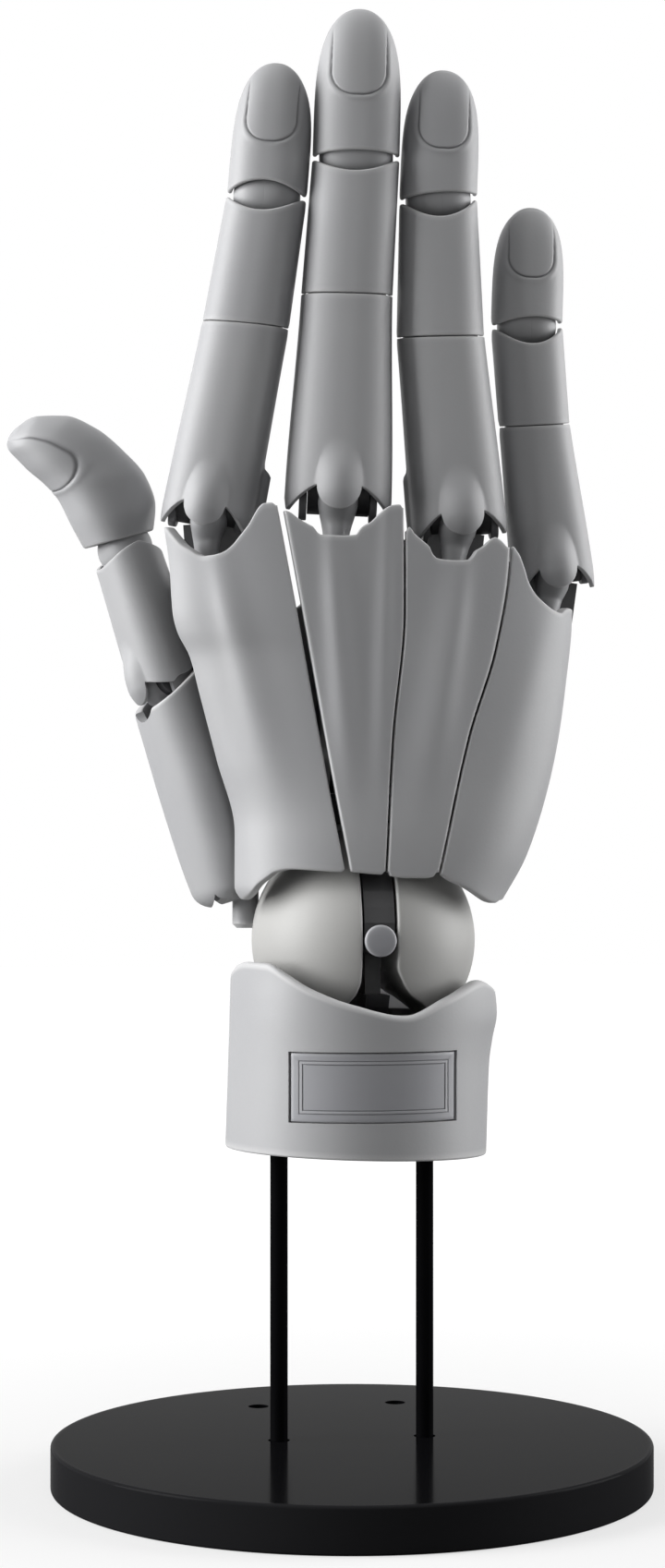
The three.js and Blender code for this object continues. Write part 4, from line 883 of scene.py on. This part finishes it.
def back_shell(digit):
    top, bottom = soft_curve(digit["top"]), soft_curve(digit["bottom"])
    outline = {}

    def angle_at(u, z, inset):
        left = edge_angle(digit["left"], -1, z, 1, inset)
        right = edge_angle(digit["right"], -1, z, -1, inset)
        return mix(left, right, u)

    def end_height(curve, u):
        z = curve(palm_point(-1, angle_at(u, 110, 0), 110, 0)[0])
        for _ in range(6):
            z = mix(z, curve(palm_point(-1, angle_at(u, z, 0), z, 0)[0]), 0.7)
        return z

    def surface(u, v, inset):
        key = round(u, 7)
        if key not in outline:
            outline[key] = (end_height(bottom, u), end_height(top, u))
        z = mix(*outline[key], v)
        angle = angle_at(u, z, inset)
        x, _, _ = palm_point(-1, angle, z, 0)
        return palm_point(-1, angle, z, inset, ridge_rise(digit, x, z))
    return plate(surface, shares(88), shares(72), PALM_WALL, SOFT_LIP)


def palm_shell(digit):
    high = digit["joints"][0][1] - PALM_SHELL_DROP
    room = PALM_CURVES["palm"](HEEL_TOP) * math.sin(math.radians(digit["fold"]))
    low = HEEL_TOP + SEAM_GAP + room
    left_edge = digit.get("palm_edge") or digit["left"]
    cut = digit.get("corner_cut", 0)

    def surface(u, v, inset):
        bow = 0.5 * math.sin(math.pi * u) + cut * (1 - ease(u / 0.45))
        z = mix(low, high - bow, v)
        left = edge_angle(left_edge, 1, z, 1, inset)
        right = edge_angle(digit["right"], 1, z, -1, inset)
        return palm_point(1, mix(left, right, u), z, inset)
    return plate(surface, shares(28), shares(28), PALM_WALL, SOFT_LIP)


def seam_shade_strip(seam, high, clear):
    """Dark strip of painted shade behind a seam of the back shells, clear of the shells when the palm
    folds.
    """
    def surface(u, v, inset):
        z = mix(SEAM_LAP_FOOT, high, v)
        x = SEAM_CURVES[id(seam)](z) + mix(-0.12, 1.3, u)
        depth = PALM_WALL + clear + inset
        return palm_point(-1, palm_angle(-1, x, z, depth), z, depth)
    return plate(surface, shares(4), shares(30), 0.5, 0.1)


def palm_heel():
    def surface(u, v, inset):
        z = mix(HEEL_BOTTOM, HEEL_TOP, v)
        left = palm_angle(1, HEEL_LEFT, z)
        return palm_point(1, mix(left, math.radians(BACK_EDGE_ANGLE), u), z, inset)
    return plate(surface, shares(56), shares(24), PALM_WALL, SOFT_LIP)


# Fingers
def half_sizes(width):
    return width / 2, width / 2 * DEPTH_SHARE


def proximal_size(digit, share):
    """Half width and depth of a first phalanx at a share of its length."""
    return half_sizes(mix(digit["widths"][0], digit["widths"][1], (ease(share) + share) / 2))


def lip_rows(ring, share, path, lip):
    """Rings over a rim, with a full share of rim, and so the full painted highlight, where it turns."""
    return [(1 if back < lip else 0.5, ring(share, back, inset)) for back, inset in path]


def tube(angles, size_at, bottom_rim, top_rim, rows, bump=None, top_lip=FINE_LIP):
    """Hollow phalanx between two rims, each a function of the section point at its height."""
    (bottom_at, bottom_of), (top_at, top_of) = bottom_rim, top_rim
    crowding = 1.4 if bump else 1

    def ring(share, back, inset):
        points = []
        for angle in angles:
            low = bottom_of(*section_point(*size_at(bottom_at), angle))
            high = top_of(*section_point(*size_at(top_at), angle))
            z = mix(low, high, share) + (back if share < 0.5 else -back)
            half_width, half_depth = size_at(z)
            x, y = section_point(half_width - inset, half_depth - inset, angle)
            points.append(bump(x, y, z) if bump else (x, y, z))
        return points
    under = lip_path(FINGER_WALL, FINE_LIP)
    loops = lip_rows(ring, 0, reversed(under[:4]), FINE_LIP)
    loops += [(0, ring(share ** crowding, 0, 0)) for share in shares(rows)[1:-1]]
    loops += lip_rows(ring, 1, lip_path(FINGER_WALL, top_lip), top_lip)
    loops += [(0, ring(share, 0, FINGER_WALL)) for share in (0.75, 0.5, 0.25)]
    loops += lip_rows(ring, 0, reversed(under[4:]), FINE_LIP)
    return loft(loops, joined=True)


def fold_rim(direction, gap, arch, half_width, slope=FOLD_SLOPE):
    """Rim of a folding joint: arched on the back and cut away on the palm side."""
    def height(x, y):
        if y > 0:
            return direction * (gap + y * slope)
        rise = arch * max(0, 1 - (x / half_width) ** 2)
        return direction * (gap + rise) + BACK_RIM_DROP * y
    return height


def knuckle_rim(digit):
    """Round under the dome, scalloped beside it and raised on the palm side."""
    dome, half = digit["dome"], digit["widths"][0] / 2
    corner = RIM_CORNER_SHARE * half
    rims = digit.get("rims", FINGER_RIMS)
    drop = digit.get("drop", 0)

    def height(x, y):
        side = abs(x)
        if y > 0:
            around = math.atan2(side, -y)
            return mix(rims["side"] - drop, rims["palm"], math.sin(around - math.pi / 2) ** 2)
        if side < dome:
            return -math.sqrt(dome * dome - side * side) - drop
        falling = mix(BESIDE_DOME, rims["corner"], ((side - dome) / (corner - dome)) ** 1.35)
        rising = mix(rims["corner"], rims["side"], (side - corner) / (half - corner))
        share = min(max(0.5 + (falling - rising) / 0.7, 0), 1)
        return mix(rising, falling, share) + 0.35 * share * (1 - share) - drop
    return height


def dome_bump(digit):
    """Rounded dome that covers the knuckle and runs out along the finger."""
    dome, half = digit["dome"], digit["widths"][0] / 2
    left_step, right_step = digit.get("lobes", (0, 0))
    shift = digit.get("drop", 0)

    def bump(x, y, z):
        if y > 0:
            lobe = left_step if x < 0 else right_step
            lobe *= ease((y + 0.2) / 1.4) * (1 - ease((z - PALM_LOBE_TOP + 1) / 1.2))
            return x * (1 + lobe / half), y, z
        up = max(z + shift, 0) / DOME_HEIGHT
        wide = dome * DOME_SPREAD * math.sqrt(max(1 - up * up, 0.02))
        across = min(1, abs(x) / wide)
        height = DOME_RISE * (1 - across ** 2) ** 1.2 * (1 - ease(up * 1.15 - 0.15))
        fall = DOME_DROP * (max(-z - shift, 0) / dome) ** 1.8
        return x, y - height + fall, z
    return bump


def knuckle_angles(digit):
    """Angles packed closely over the dome and beside it, and loosely on the palm side."""
    half = digit["widths"][0] / 2
    depth = half * DEPTH_SHARE
    dome = digit["dome"]

    def angle_at(x):
        low, high = 0, math.pi / 2
        for _ in range(40):
            middle = (low + high) / 2
            if section_point(half, depth, middle)[0] < x:
                low = middle
            else:
                high = middle
        return low
    inside = [s * dome for s in shares(16)[1:-1] + [0.965, 0.98, 0.992, 0.998]]
    beside = [mix(dome + 0.05, 0.96 * half, s) for s in shares(18)]
    right = [angle_at(x) for x in inside + beside]
    right += [mix(angle_at(0.97 * half), math.pi, s) for s in shares(40)[:-1]]
    right = sorted(set(right))
    return [0] + right + [math.pi] + [2 * math.pi - a for a in reversed(right)]


def proximal_shell(digit, length, top_tilt):
    fold = fold_rim(-1, RIM_GAP, digit.get("top_arch", 0), digit["widths"][1] / 2,
                    digit.get("fold_slope", FOLD_SLOPE))

    def size(z):
        return proximal_size(digit, z / length)

    def top(x, y):
        return length + fold(x, y) - x * top_tilt
    return tube(knuckle_angles(digit), size, (0, knuckle_rim(digit)), (length, top), 48, dome_bump(digit))


def middle_shell(digit, length, bottom_tilt, top_tilt):
    unfold = fold_rim(1, RIM_GAP, 0, digit["widths"][1] / 2)
    fold = fold_rim(-1, END_RIM_GAP, digit["lens_down"], digit["widths"][2] / 2)

    def size(z):
        return half_sizes(mix(digit["widths"][1], digit["widths"][2], z / length))

    def bottom(x, y):
        return unfold(x, y) + x * bottom_tilt

    def top(x, y):
        return length + fold(x, y) - x * top_tilt
    return tube(even_angles(112), size, (0, bottom), (length, top), 20, top_lip=SOFT_LIP)


def nail_distance(nail, x, z):
    """Signed distance to the outline of a nail, a slightly tapered plate with round corners."""
    low, top, half = nail["low"], nail["top"], nail["half"]
    middle, reach, corner = (low + top) / 2, (top - low) / 2, 0.92 * half
    wide = half * (1 - 0.05 * (z - middle) / reach)
    u = abs(x) - wide + corner
    v = abs(z - middle) - reach + corner
    return math.hypot(max(u, 0), max(v, 0)) + min(max(u, v), 0) - corner


def nail_relief(nail, x, z):
    """Height over a nail and how grooved it is: a fine line round a plate that lifts at its tip."""
    outside = nail_distance(nail, x, z)
    share = (z - nail["low"]) / (nail["top"] - nail["low"])
    line = math.exp(-((outside / NAIL_LINE_WIDTH) ** 2)) * (1 - ease((share - 0.7) / 0.2))
    lift = mix(NAIL_BASE_LIFT, NAIL_END_LIFT, ease((share - 0.1) / 0.9)) * ease(0.5 - outside / 0.2)
    fold = math.exp(-(((outside - 0.5) / 0.35) ** 2)) * (1 - ease((share - 0.5) / 0.35))
    return lift + NAIL_FOLD_LIFT * fold - NAIL_LINE_DEPTH * line, line


def tip_angles(count_front, count_back):
    """Angles packed closely over the nail and loosely round the pulp."""
    front = [mix(-math.radians(72), math.radians(72), s) for s in shares(count_front)]
    back = [mix(math.radians(72), math.radians(288), s) for s in shares(count_back)[1:-1]]
    return front + back


def tip_climb(nail, length):
    """Rows up a fingertip, close together round the base of the nail and at the crown."""
    base = nail["low"] / length
    low = [mix(0, base - 0.05, s) for s in shares(12)[1:-1]]
    around = [mix(base - 0.05, base + 0.15, s) for s in shares(36)]
    middle = [mix(base + 0.15, 0.84, s) for s in shares(22)[1:-1]]
    crown = [1 - 0.16 * (1 - s) ** 2 for s in shares(34)]
    return low + around + middle + crown[:-1] + [0.99985]


def grooved(mesh, lines):
    """Mesh whose rim mask falls below zero along the fine line of its nail, which paints shade into the
    groove.
    """
    points, faces, rim = mesh
    rim[:len(lines)] = [share - NAIL_GROOVE_SHADE * line for share, line in zip(rim, lines)]
    return points, faces, rim


def tip_shell(digit, length, tilt):
    half = digit["widths"][2] / 2
    nail = digit["nail"]
    rim = fold_rim(1, END_RIM_GAP, digit["lens_up"], half)
    angles = tip_angles(96, 40)
    lines = []

    def ring(share, back, inset):
        points = []
        for angle in angles:
            edge_x, edge_y = section_point(half, half * DEPTH_SHARE, angle)
            low = rim(edge_x, edge_y) + edge_x * tilt
            z = mix(low, length - inset, share) + back
            taper = (1 - share ** TIP_FULLNESS) ** 0.5
            wide = max((half - inset) * taper, 0.01)
            x, y = section_point(wide, wide * DEPTH_SHARE, angle)
            line = 0
            if inset == 0 and y < 0.1 * half:
                front = section_point(1, DEPTH_SHARE, angle)
                size = math.hypot(*front)
                relief, line = nail_relief(nail, x - nail["turn"], z)
                relief *= ease((0.1 * half - y) / (0.2 * half))
                x += relief * front[0] / size
                y += relief * front[1] / size
            points.append((x, y - 0.12 * half * share ** 2, z))
            lines.append(line)
        return points
    rows = [(0, ring(share, 0, 0)) for share in reversed(tip_climb(nail, length))]
    rows += lip_rows(ring, 0, lip_path(FINGER_WALL, SOFT_LIP), SOFT_LIP)
    rows += [(0, ring(share, 0, FINGER_WALL)) for share in (0.3, 0.6, 0.8, 0.9, 0.96)]
    return grooved(loft(rows, capped=True), lines)


def barrel(half_width, half_depth, seam=0.015):
    """Barrel of a joint along X, drawn in at its ends and parted by a fine seam."""
    stations = [-0.985, -0.95, -0.88] + [mix(-0.8, -0.03, s) for s in shares(12)] + [-0.012, 0]
    stations += [-s for s in reversed(stations[:-1])]
    rows = []
    for share in stations:
        radius = half_depth * (1 - abs(share) ** SECTION_POWER) ** (1 / SECTION_POWER)
        radius -= seam if abs(share) < 0.005 else 0
        ring = [(share * half_width, radius * math.cos(a), radius * math.sin(a)) for a in even_angles(72)]
        rows.append((0, ring))
    return loft(rows, capped=True)


def link(width, hinge_frame, lower_frame):
    """Link of a folding joint: a plug in the lower shell and a barrel in the upper one."""
    half_width, half_depth = (half - FINGER_WALL - LINK_GAP for half in half_sizes(width))

    def section(share, z):
        return [(*section_point(half_width * share, half_depth * share, a), z) for a in even_angles(48)]
    top, bottom = -LINK_TOP_SHARE * width, -LINK_FOOT_SHARE * width
    stem = [(0, section(share, z)) for share, z in (
        (0.9, bottom), (0.97, bottom + 0.1), (0.97, top), (0.6, top + 1), (0.5, 0))]
    return together(moved(barrel(half_width, half_depth), hinge_frame),
                    moved(loft(stem, capped=True), lower_frame))


def hub_reach(digit):
    """How far the rounded end of the fork's cheeks reaches from the knuckle joint."""
    return digit.get("hub", HUB_SHARE) * digit["widths"][0]


def knuckle_barrel(digit, hinge_frame):
    """Barrel of the knuckle between the cheeks of the fork, dark plastic with painted shade of the hollow.
    """
    end = digit["dome"] + CHEEK_OFFSET - HUB_GAP
    radius = HUB_FILL * hub_reach(digit)
    return moved(rod("x", (0, 0, 0), -end, end, radius, 64, 0.05), hinge_frame)


def knuckle_shade_web(digit, link_frame):
    """Dark web of painted shade below the barrel that closes the view through the fork."""
    side = digit["dome"] + CHEEK_OFFSET - 0.3
    top = 0.4 - HUB_FILL * hub_reach(digit)
    return moved(block((-side, -1.6, 1.5 - TONGUE_REACH), (side, 0.8, top)), link_frame)


def knuckle_tongue(digit, link_frame):
    """Tongue from the fork of the bone up to the dome, round in front about the knuckle."""
    dome, shift = digit["dome"], digit.get("drop", 0)
    radius = half_sizes(digit["widths"][0])[1] - TONGUE_GAP
    width_of, bend_of = soft_curve(TONGUE_WIDTHS), soft_curve(TONGUE_BEND)
    behind, end = 2.6, FORK_HALF_GAP - TURN_GAP
    rows = []

    def section(z, half, low, high):
        ring = []
        aside = digit.get("bend", 0) * bend_of(z)
        for angle in even_angles(72):
            x, y = section_point(half, (high - low) / 2, angle)
            ring.append((x + aside, y + (low + high) / 2, z))
        rows.append((0, ring))
    for z in [1.5 - 10.1 * s for s in shares(48)]:
        round_front = math.sqrt(radius ** 2 - min(abs(z + shift), 0.85 * radius) ** 2)
        front = mix(round_front, 0.62 * radius, ease((-z - shift - 1.7) / 3.6))
        section(z, dome * width_of(z + 0.6 * shift), -front, behind)
    foot = -TONGUE_REACH
    for z, share in ((-8.75, 0.66), (foot, 0.66), (foot - 1.5, 0.6), (foot - 2.2, 0.25)):
        section(z, dome * share, -end, end)
    return moved(loft(rows, capped=True), link_frame)


def knuckle_frame(digit, length, matrix):
    """Fork in the phalanx: a plug with a cheek on each side of the knuckle barrel."""
    plug_bottom = digit["widths"][0] * FORK_FOOT_SHARE
    plug_top = plug_bottom + FORK_PLUG_LENGTH
    half_width, half_depth = (
        half - FINGER_WALL - TURN_GAP for half in proximal_size(digit, plug_top / length))

    def section(share, z):
        return [(*section_point(half_width * share, half_depth * share, a), z) for a in even_angles(48)]
    levels = ((0.9, plug_bottom), (0.97, plug_bottom + 0.2), (0.97, plug_top))
    plug = loft([(0, section(share, z)) for share, z in levels], capped=True)
    depth = CHEEK_DEPTH_SHARE * digit["widths"][0]
    inner = digit["dome"] + CHEEK_OFFSET
    outer = inner + CHEEK_WIDTH
    turns = [math.pi * s for s in shares(16)]
    low = depth - hub_reach(digit)
    round_end = [(-depth * math.cos(a), low - depth * math.sin(a)) for a in turns]
    outline = round_end + [(depth, plug_bottom + 1), (-depth, plug_bottom + 1)]

    def cheek(low, high):
        rows = []
        for x, shrink, rim in ((low, 0.9, 1), (low + 0.12, 1, 0), (high - 0.12, 1, 0), (high, 0.9, 1)):
            rows.append((rim, [(x, y * shrink, z * mix(1, 0.98, 10 * (1 - shrink))) for y, z in outline]))
        return loft(rows, capped=True)
    return moved(together(plug, cheek(-outer, -inner), cheek(inner, outer)), matrix)


def joint_frame(digit, i, lean):
    x, z = digit["joints"][i]
    return place_at((x, digit["y"], z), lean, digit["roll"])


def make_finger(name, digit):
    """One finger with its plates on the palm, from the knuckle to the tip."""
    joints = digit["joints"]
    leans = [lean_between(a, b) for a, b in zip(joints, joints[1:])]
    lengths = [math.dist(a, b) for a, b in zip(joints, joints[1:])]
    frames = [joint_frame(digit, i, lean) for i, lean in enumerate(leans)]
    hinge_leans = [leans[0]] + [math.radians(lean) for lean in digit["hinge_leans"]]
    hinges = [joint_frame(digit, i, lean) for i, lean in enumerate(hinge_leans)]
    top_tilts = [math.tan(hinge_leans[i] - leans[i - 1]) for i in (1, 2)]
    bottom_tilts = [math.tan(leans[i] - hinge_leans[i]) for i in (1, 2)]
    link_frame = joint_frame(digit, 0, math.radians(digit["link_lean"]))
    root = f"{name}_metacarpal" if digit["fold"] else "palm"
    link_body = f"{name}_knuckle_link" if digit.get("spreads") else root
    add_piece(f"{name}_back_plate", back_shell(digit), GREY, root, f"{name}_back_shell")
    add_piece(f"{name}_palm_plate", palm_shell(digit), GREY, root, f"{name}_palm_shell")
    add_piece(f"{name}_knuckle_tongue", knuckle_tongue(digit, link_frame), GREY, link_body,
              f"{name}_knuckle_link")
    add_piece(f"{name}_knuckle_barrel", knuckle_barrel(digit, hinges[0]), DARK_WITH_PAINTED_SHADE, link_body)
    if digit.get("web"):
        add_piece(f"{name}_knuckle_shade_web", knuckle_shade_web(digit, link_frame), DARK_WITH_PAINTED_SHADE, link_body)
    add_piece(f"{name}_knuckle_fork", knuckle_frame(digit, lengths[0], frames[0]), FORK,
              f"{name}_proximal", f"{name}_knuckle_frame")
    shell = moved(proximal_shell(digit, lengths[0], top_tilts[0]), frames[0])
    add_piece(f"{name}_first_phalanx", shell, GREY, f"{name}_proximal", f"{name}_proximal")
    lower = [joint_frame(digit, i, leans[i - 1]) for i in (1, 2)]
    add_piece(f"{name}_middle_joint_link", link(digit["widths"][1], hinges[1], lower[0]), GREY,
              f"{name}_proximal", f"{name}_pip_link")
    shell = moved(middle_shell(digit, lengths[1], bottom_tilts[0], top_tilts[1]), frames[1])
    add_piece(f"{name}_second_phalanx", shell, GREY, f"{name}_middle", f"{name}_middle")
    add_piece(f"{name}_end_joint_link", link(digit["widths"][2], hinges[2], lower[1]), GREY,
              f"{name}_middle", f"{name}_dip_link")
    shell = moved(tip_shell(digit, lengths[2], bottom_tilts[1]), frames[2])
    add_piece(f"{name}_fingertip", shell, GREY, f"{name}_tip", f"{name}_tip")


# Thumb
def thumb_tip_point(row, angle, inset, relief=0):
    """Point of the thumb tip between its measured rows, smooth from row to row."""
    nail_x, nail_z, pulp_x, pulp_z, across = (curve(row) for curve in THUMB_TIP_CURVES)
    depth = math.hypot(pulp_x - nail_x, pulp_z - nail_z) / 2
    toward = ((pulp_x - nail_x) / (2 * depth), (pulp_z - nail_z) / (2 * depth))
    u, v = section_point(max(across - inset, 0.02), max(depth - inset, 0.02), angle)
    size = math.hypot(u, v) or 1
    u, v = u + relief * u / size, v + relief * v / size
    roll = math.radians(THUMB["roll"])
    side = (math.cos(roll), math.sin(roll), 0)
    deep = (-math.sin(roll) * toward[0], math.cos(roll) * toward[0], toward[1])
    centre = ((nail_x + pulp_x) / 2, THUMB["y"], (nail_z + pulp_z) / 2)
    return tuple(c + side[k] * u + deep[k] * v for k, c in enumerate(centre))


THUMB_TIP_CURVES = [soft_curve([(i, row[k]) for i, row in enumerate(THUMB_TIP_ROWS)]) for k in range(5)]


def thumb_tip():
    last = len(THUMB_TIP_ROWS) - 1
    angles = tip_angles(96, 48)
    lines = []

    def ring(row, inset):
        points = []
        for angle in angles:
            relief = line = 0
            if inset == 0 and math.cos(angle) > 0:
                across = THUMB_NAIL_SPREAD * math.sin(angle)
                relief, line = nail_relief(THUMB_NAIL, across, row * THUMB_ROW_STEP)
                relief *= ease(math.cos(angle) / 0.3)
            points.append(thumb_tip_point(row, angle, inset, relief))
            lines.append(line)
        return points
    rows = [(0, ring(mix(0.1, last, s), 0)) for s in reversed(shares(130))]
    for back, inset in lip_path(FINGER_WALL, SOFT_LIP):
        rows.append((1 if back < SOFT_LIP else 0.5, ring(back / THUMB_LIP_STEP, inset)))
    rows += [(0, ring(row, FINGER_WALL)) for row in (1, 2, 3.5, 4.5)]
    return grooved(loft(rows, capped=True), lines)


def thenar_shell(length):
    """Thenar shell with a closed round foot and a rim that slopes down to the thumb's nail side."""
    half_of, back_of, pulp_of = (
        soft_curve(table) for table in (THUMB_SHELL_HALF, THUMB_SHELL_BACK, THUMB_SHELL_PULP))
    angles = even_angles(128)

    def depth(angle, z):
        return back_of(z) if math.cos(angle) > 0 else pulp_of(z)

    def rim_height(angle):
        _, y = section_point(6.6, depth(angle, length), angle)
        share = (y + THUMB_RIM_REACH) / (2 * THUMB_RIM_REACH)
        return mix(length + THUMB_RIM_FRONT, length + THUMB_RIM_BACK, share)

    def ring(share, back, inset):
        points = []
        for angle in angles:
            z = mix(0, rim_height(angle), share) - back
            points.append((*section_point(half_of(z) - inset, depth(angle, z) - inset, angle), z))
        return points

    def foot_ring(turn):
        grow = math.sin(turn) ** 0.75 if turn > 0 else 0.03
        z = -THUMB_SHELL_FOOT * math.cos(turn) ** 0.9
        return [(*section_point(half_of(0) * grow, depth(a, 0) * grow, a), z) for a in angles]
    rows = [(0, foot_ring(turn)) for turn in quarter_turn(10)[:-1]]
    rows += [(0, ring(share, 0, 0)) for share in shares(40)[:-1]]
    rows += [(1, ring(1, back, inset)) for back, inset in lip_path(THUMB_SHELL_WALL, SOFT_LIP)]
    rows += [(0, ring(share, 0, THUMB_SHELL_WALL)) for share in (0.9, 0.7, 0.5)]
    return loft(rows, capped=True)


def make_thumb():
    """Thumb from its root to its tip; its shell is cut away for the knuckle, heel and root joint."""
    knuckle, end = THUMB["joints"]
    root_x, root_y, root_z = THUMB_ROOT
    shell_lean = lean_between((root_x, root_z), knuckle)
    shell_length = math.dist((root_x, root_z), knuckle)
    shell_frame = place_at(THUMB_ROOT, shell_lean, THUMB["roll"])
    thenar = add_piece("thenar_shell", moved(thenar_shell(shell_length), shell_frame), GREY,
                       "thumb_metacarpal", "thumb_metacarpal")
    notch = rod("y", (0, 0, shell_length - THUMB_NOTCH_DROP), -THUMB_OPENING_REACH, 0, THUMB["dome"] + 1)
    low_z = HEEL_BOTTOM - 20
    high = (BALL_CENTRE[0] + THUMB_OPENING_REACH, root_y + THUMB_OPENING_REACH, THUMB_OPENING_TOP)
    carve(thenar, moved(notch, shell_frame), block((root_x + 0.2, -THUMB_OPENING_REACH, low_z), high),
          block((root_x - 2.4, root_y - 4.8, low_z), high))

    length = math.dist(knuckle, end)
    lean = lean_between(knuckle, end)
    lower = joint_frame(THUMB, 0, lean)
    hinge = joint_frame(THUMB, 1, math.radians(THUMB_END_LEAN))
    tilt = math.tan(math.radians(THUMB_END_LEAN) - lean)
    tongue = knuckle_tongue(THUMB, joint_frame(THUMB, 0, shell_lean))
    add_piece("thumb_knuckle_tongue", tongue, GREY, "thumb_metacarpal", "thumb_knuckle_link")
    add_piece("thumb_knuckle_barrel", knuckle_barrel(THUMB, lower), DARK_WITH_PAINTED_SHADE, "thumb_metacarpal")
    add_piece("thumb_knuckle_fork", knuckle_frame(THUMB, length, lower), FORK, "thumb_proximal",
              "thumb_knuckle_frame")
    add_piece("thumb_first_phalanx", moved(proximal_shell(THUMB, length, tilt), lower), GREY,
              "thumb_proximal", "thumb_proximal")
    add_piece("thumb_end_joint_link", link(THUMB["widths"][1], hinge, joint_frame(THUMB, 1, lean)), GREY,
              "thumb_proximal", "thumb_end_link")
    add_piece("thumb_tip_shell", thumb_tip(), GREY, "thumb_tip", "thumb_tip")
    shaft_x, shaft_y = THUMB_SWING_AXIS
    barrel_part = moved(rod("y", (0, 0, 0), -2.6, 2.8, THUMB_ROOT_RADIUS, 64, 0.7), shell_frame)
    shaft = rod("z", (shaft_x, shaft_y, 0), THUMB_SHAFT_FOOT, root_z + 1, THUMB_SHAFT_RADIUS, 48, 0.6)
    add_piece("thumb_root_joint", together(barrel_part, shaft), GREY, "thumb_root_link", "thumb_root_link")


make_stand()
make_cuff()
make_wrist()
add_piece("palm_heel_plate", palm_heel(), GREY, "palm", "palm_heel")
# Dark strips of painted shade behind the seams of the back shells
add_piece("ring_seam_lap", seam_shade_strip(SEAM_MIDDLE_RING, 133.2, 0.2), DARK_WITH_PAINTED_SHADE, "ring_metacarpal")
add_piece("little_seam_lap", seam_shade_strip(SEAM_RING_LITTLE, 131, 2.4), DARK_WITH_PAINTED_SHADE, "little_metacarpal")
for digit_name, digit_sizes in DIGITS.items():
    make_finger(digit_name, digit_sizes)
make_thumb()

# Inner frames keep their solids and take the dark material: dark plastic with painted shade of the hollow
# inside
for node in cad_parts.values():
    if node.hide_render:
        continue
    node.data.materials.clear()
    node.data.materials.append(DARK_WITH_PAINTED_SHADE)
    soft = node.modifiers.new("soft edges", "BEVEL")
    soft.width = 0.12 * MM
    soft.segments = 2
    soft.limit_method = "ANGLE"
    soft.angle_limit = math.radians(40)


# Floor, lights, background and camera
FLOOR_REACH = 3


def floor_material():
    """Grey floor that takes the shadow, and that the camera sees fade to white with distance."""
    material = bpy.data.materials.new("pale studio floor")
    material.use_nodes = True
    tree = material.node_tree
    tree.nodes.clear()
    link_up = tree.links.new
    out = add_node(tree, "ShaderNodeOutputMaterial")
    plain = add_node(tree, "ShaderNodeBsdfDiffuse", Color=(0.26, 0.26, 0.26, 1))
    glow = add_node(tree, "ShaderNodeEmission")
    path = add_node(tree, "ShaderNodeLightPath")
    place = add_node(tree, "ShaderNodeTexCoord")
    reach = add_node(tree, "ShaderNodeVectorMath")
    reach.operation = "LENGTH"
    fade = add_node(tree, "ShaderNodeMapRange", From_Min=0.06, From_Max=0.4, To_Min=0.64, To_Max=1)
    both = add_node(tree, "ShaderNodeAddShader")
    link_up(place.outputs["Object"], reach.inputs[0])
    link_up(reach.outputs["Value"], fade.inputs["Value"])
    seen = add_maths(tree, "MULTIPLY", path.outputs["Is Camera Ray"], fade.outputs["Result"])
    link_up(seen, glow.inputs["Strength"])
    link_up(plain.outputs["BSDF"], both.inputs[0])
    link_up(glow.outputs["Emission"], both.inputs[1])
    link_up(both.outputs["Shader"], out.inputs["Surface"])
    return material


def add_floor():
    data = bpy.data.meshes.new("studio floor")
    reach = FLOOR_REACH
    data.from_pydata([(-reach, -reach, 0), (reach, -reach, 0), (reach, reach, 0), (-reach, reach, 0)], [],
                     [(0, 1, 2, 3)])
    data.materials.append(floor_material())
    floor = bpy.data.objects.new("studio floor", data)
    floor.location.z = -0.05 * MM
    bpy.context.scene.collection.objects.link(floor)


def add_light(name, place, target, size, power):
    """White rectangle of light, in metres and watts, turned to its target."""
    lamp = bpy.data.lights.new(name, "AREA")
    lamp.shape = "RECTANGLE"
    lamp.size, lamp.size_y = size
    lamp.energy = power
    light = bpy.data.objects.new(name, lamp)
    light.location = place
    light.rotation_euler = (Vector(target) - Vector(place)).to_track_quat("-Z", "Y").to_euler()
    bpy.context.scene.collection.objects.link(light)


def add_world():
    """Dim white light all round, which shows as full white to the camera and in gloss."""
    world = bpy.data.worlds.new("white studio")
    bpy.context.scene.world = world
    world.use_nodes = True
    tree = world.node_tree
    tree.nodes.clear()
    out = add_node(tree, "ShaderNodeOutputWorld")
    shade = add_node(tree, "ShaderNodeBackground", Color=(1, 1, 1, 1))
    path = add_node(tree, "ShaderNodeLightPath").outputs
    level = add_node(tree, "ShaderNodeMapRange", To_Min=0.1, To_Max=1)
    seen = add_maths(tree, "MAXIMUM", path["Is Camera Ray"], path["Is Glossy Ray"])
    seen = add_maths(tree, "MAXIMUM", seen, path["Is Transmission Ray"])
    tree.links.new(seen, level.inputs["Value"])
    tree.links.new(level.outputs["Result"], shade.inputs["Strength"])
    tree.links.new(shade.outputs["Background"], out.inputs["Surface"])


def add_camera():
    lens = bpy.data.cameras.new("photo camera")
    lens.lens = 60.7
    lens.sensor_width = 36
    lens.shift_x = -0.0124
    lens.shift_y = 0.0754
    camera = bpy.data.objects.new("photo camera", lens)
    camera.location = (-56.4 * MM, -372.8 * MM, 82.8 * MM)
    camera.rotation_euler = (math.radians(90), 0, math.radians(-8.6))
    bpy.context.scene.collection.objects.link(camera)
    bpy.context.scene.camera = camera


add_floor()
add_light("left soft box", (-0.64, -0.03, 0.26), (0, 0, 0.13), (0.42, 0.8), 9.8)
add_light("right soft box", (0.64, 0, 0.25), (0, 0, 0.13), (0.42, 0.8), 6.2)
add_light("top soft box", (0, -0.05, 0.75), (0, 0, 0.1), (0.6, 0.5), 1)
add_light("front fill", (-0.05, -0.9, 0.35), (0, 0, 0.12), (0.8, 0.6), 0.3)
add_world()
add_camera()

view = bpy.context.scene.view_settings
view.view_transform = "Standard"
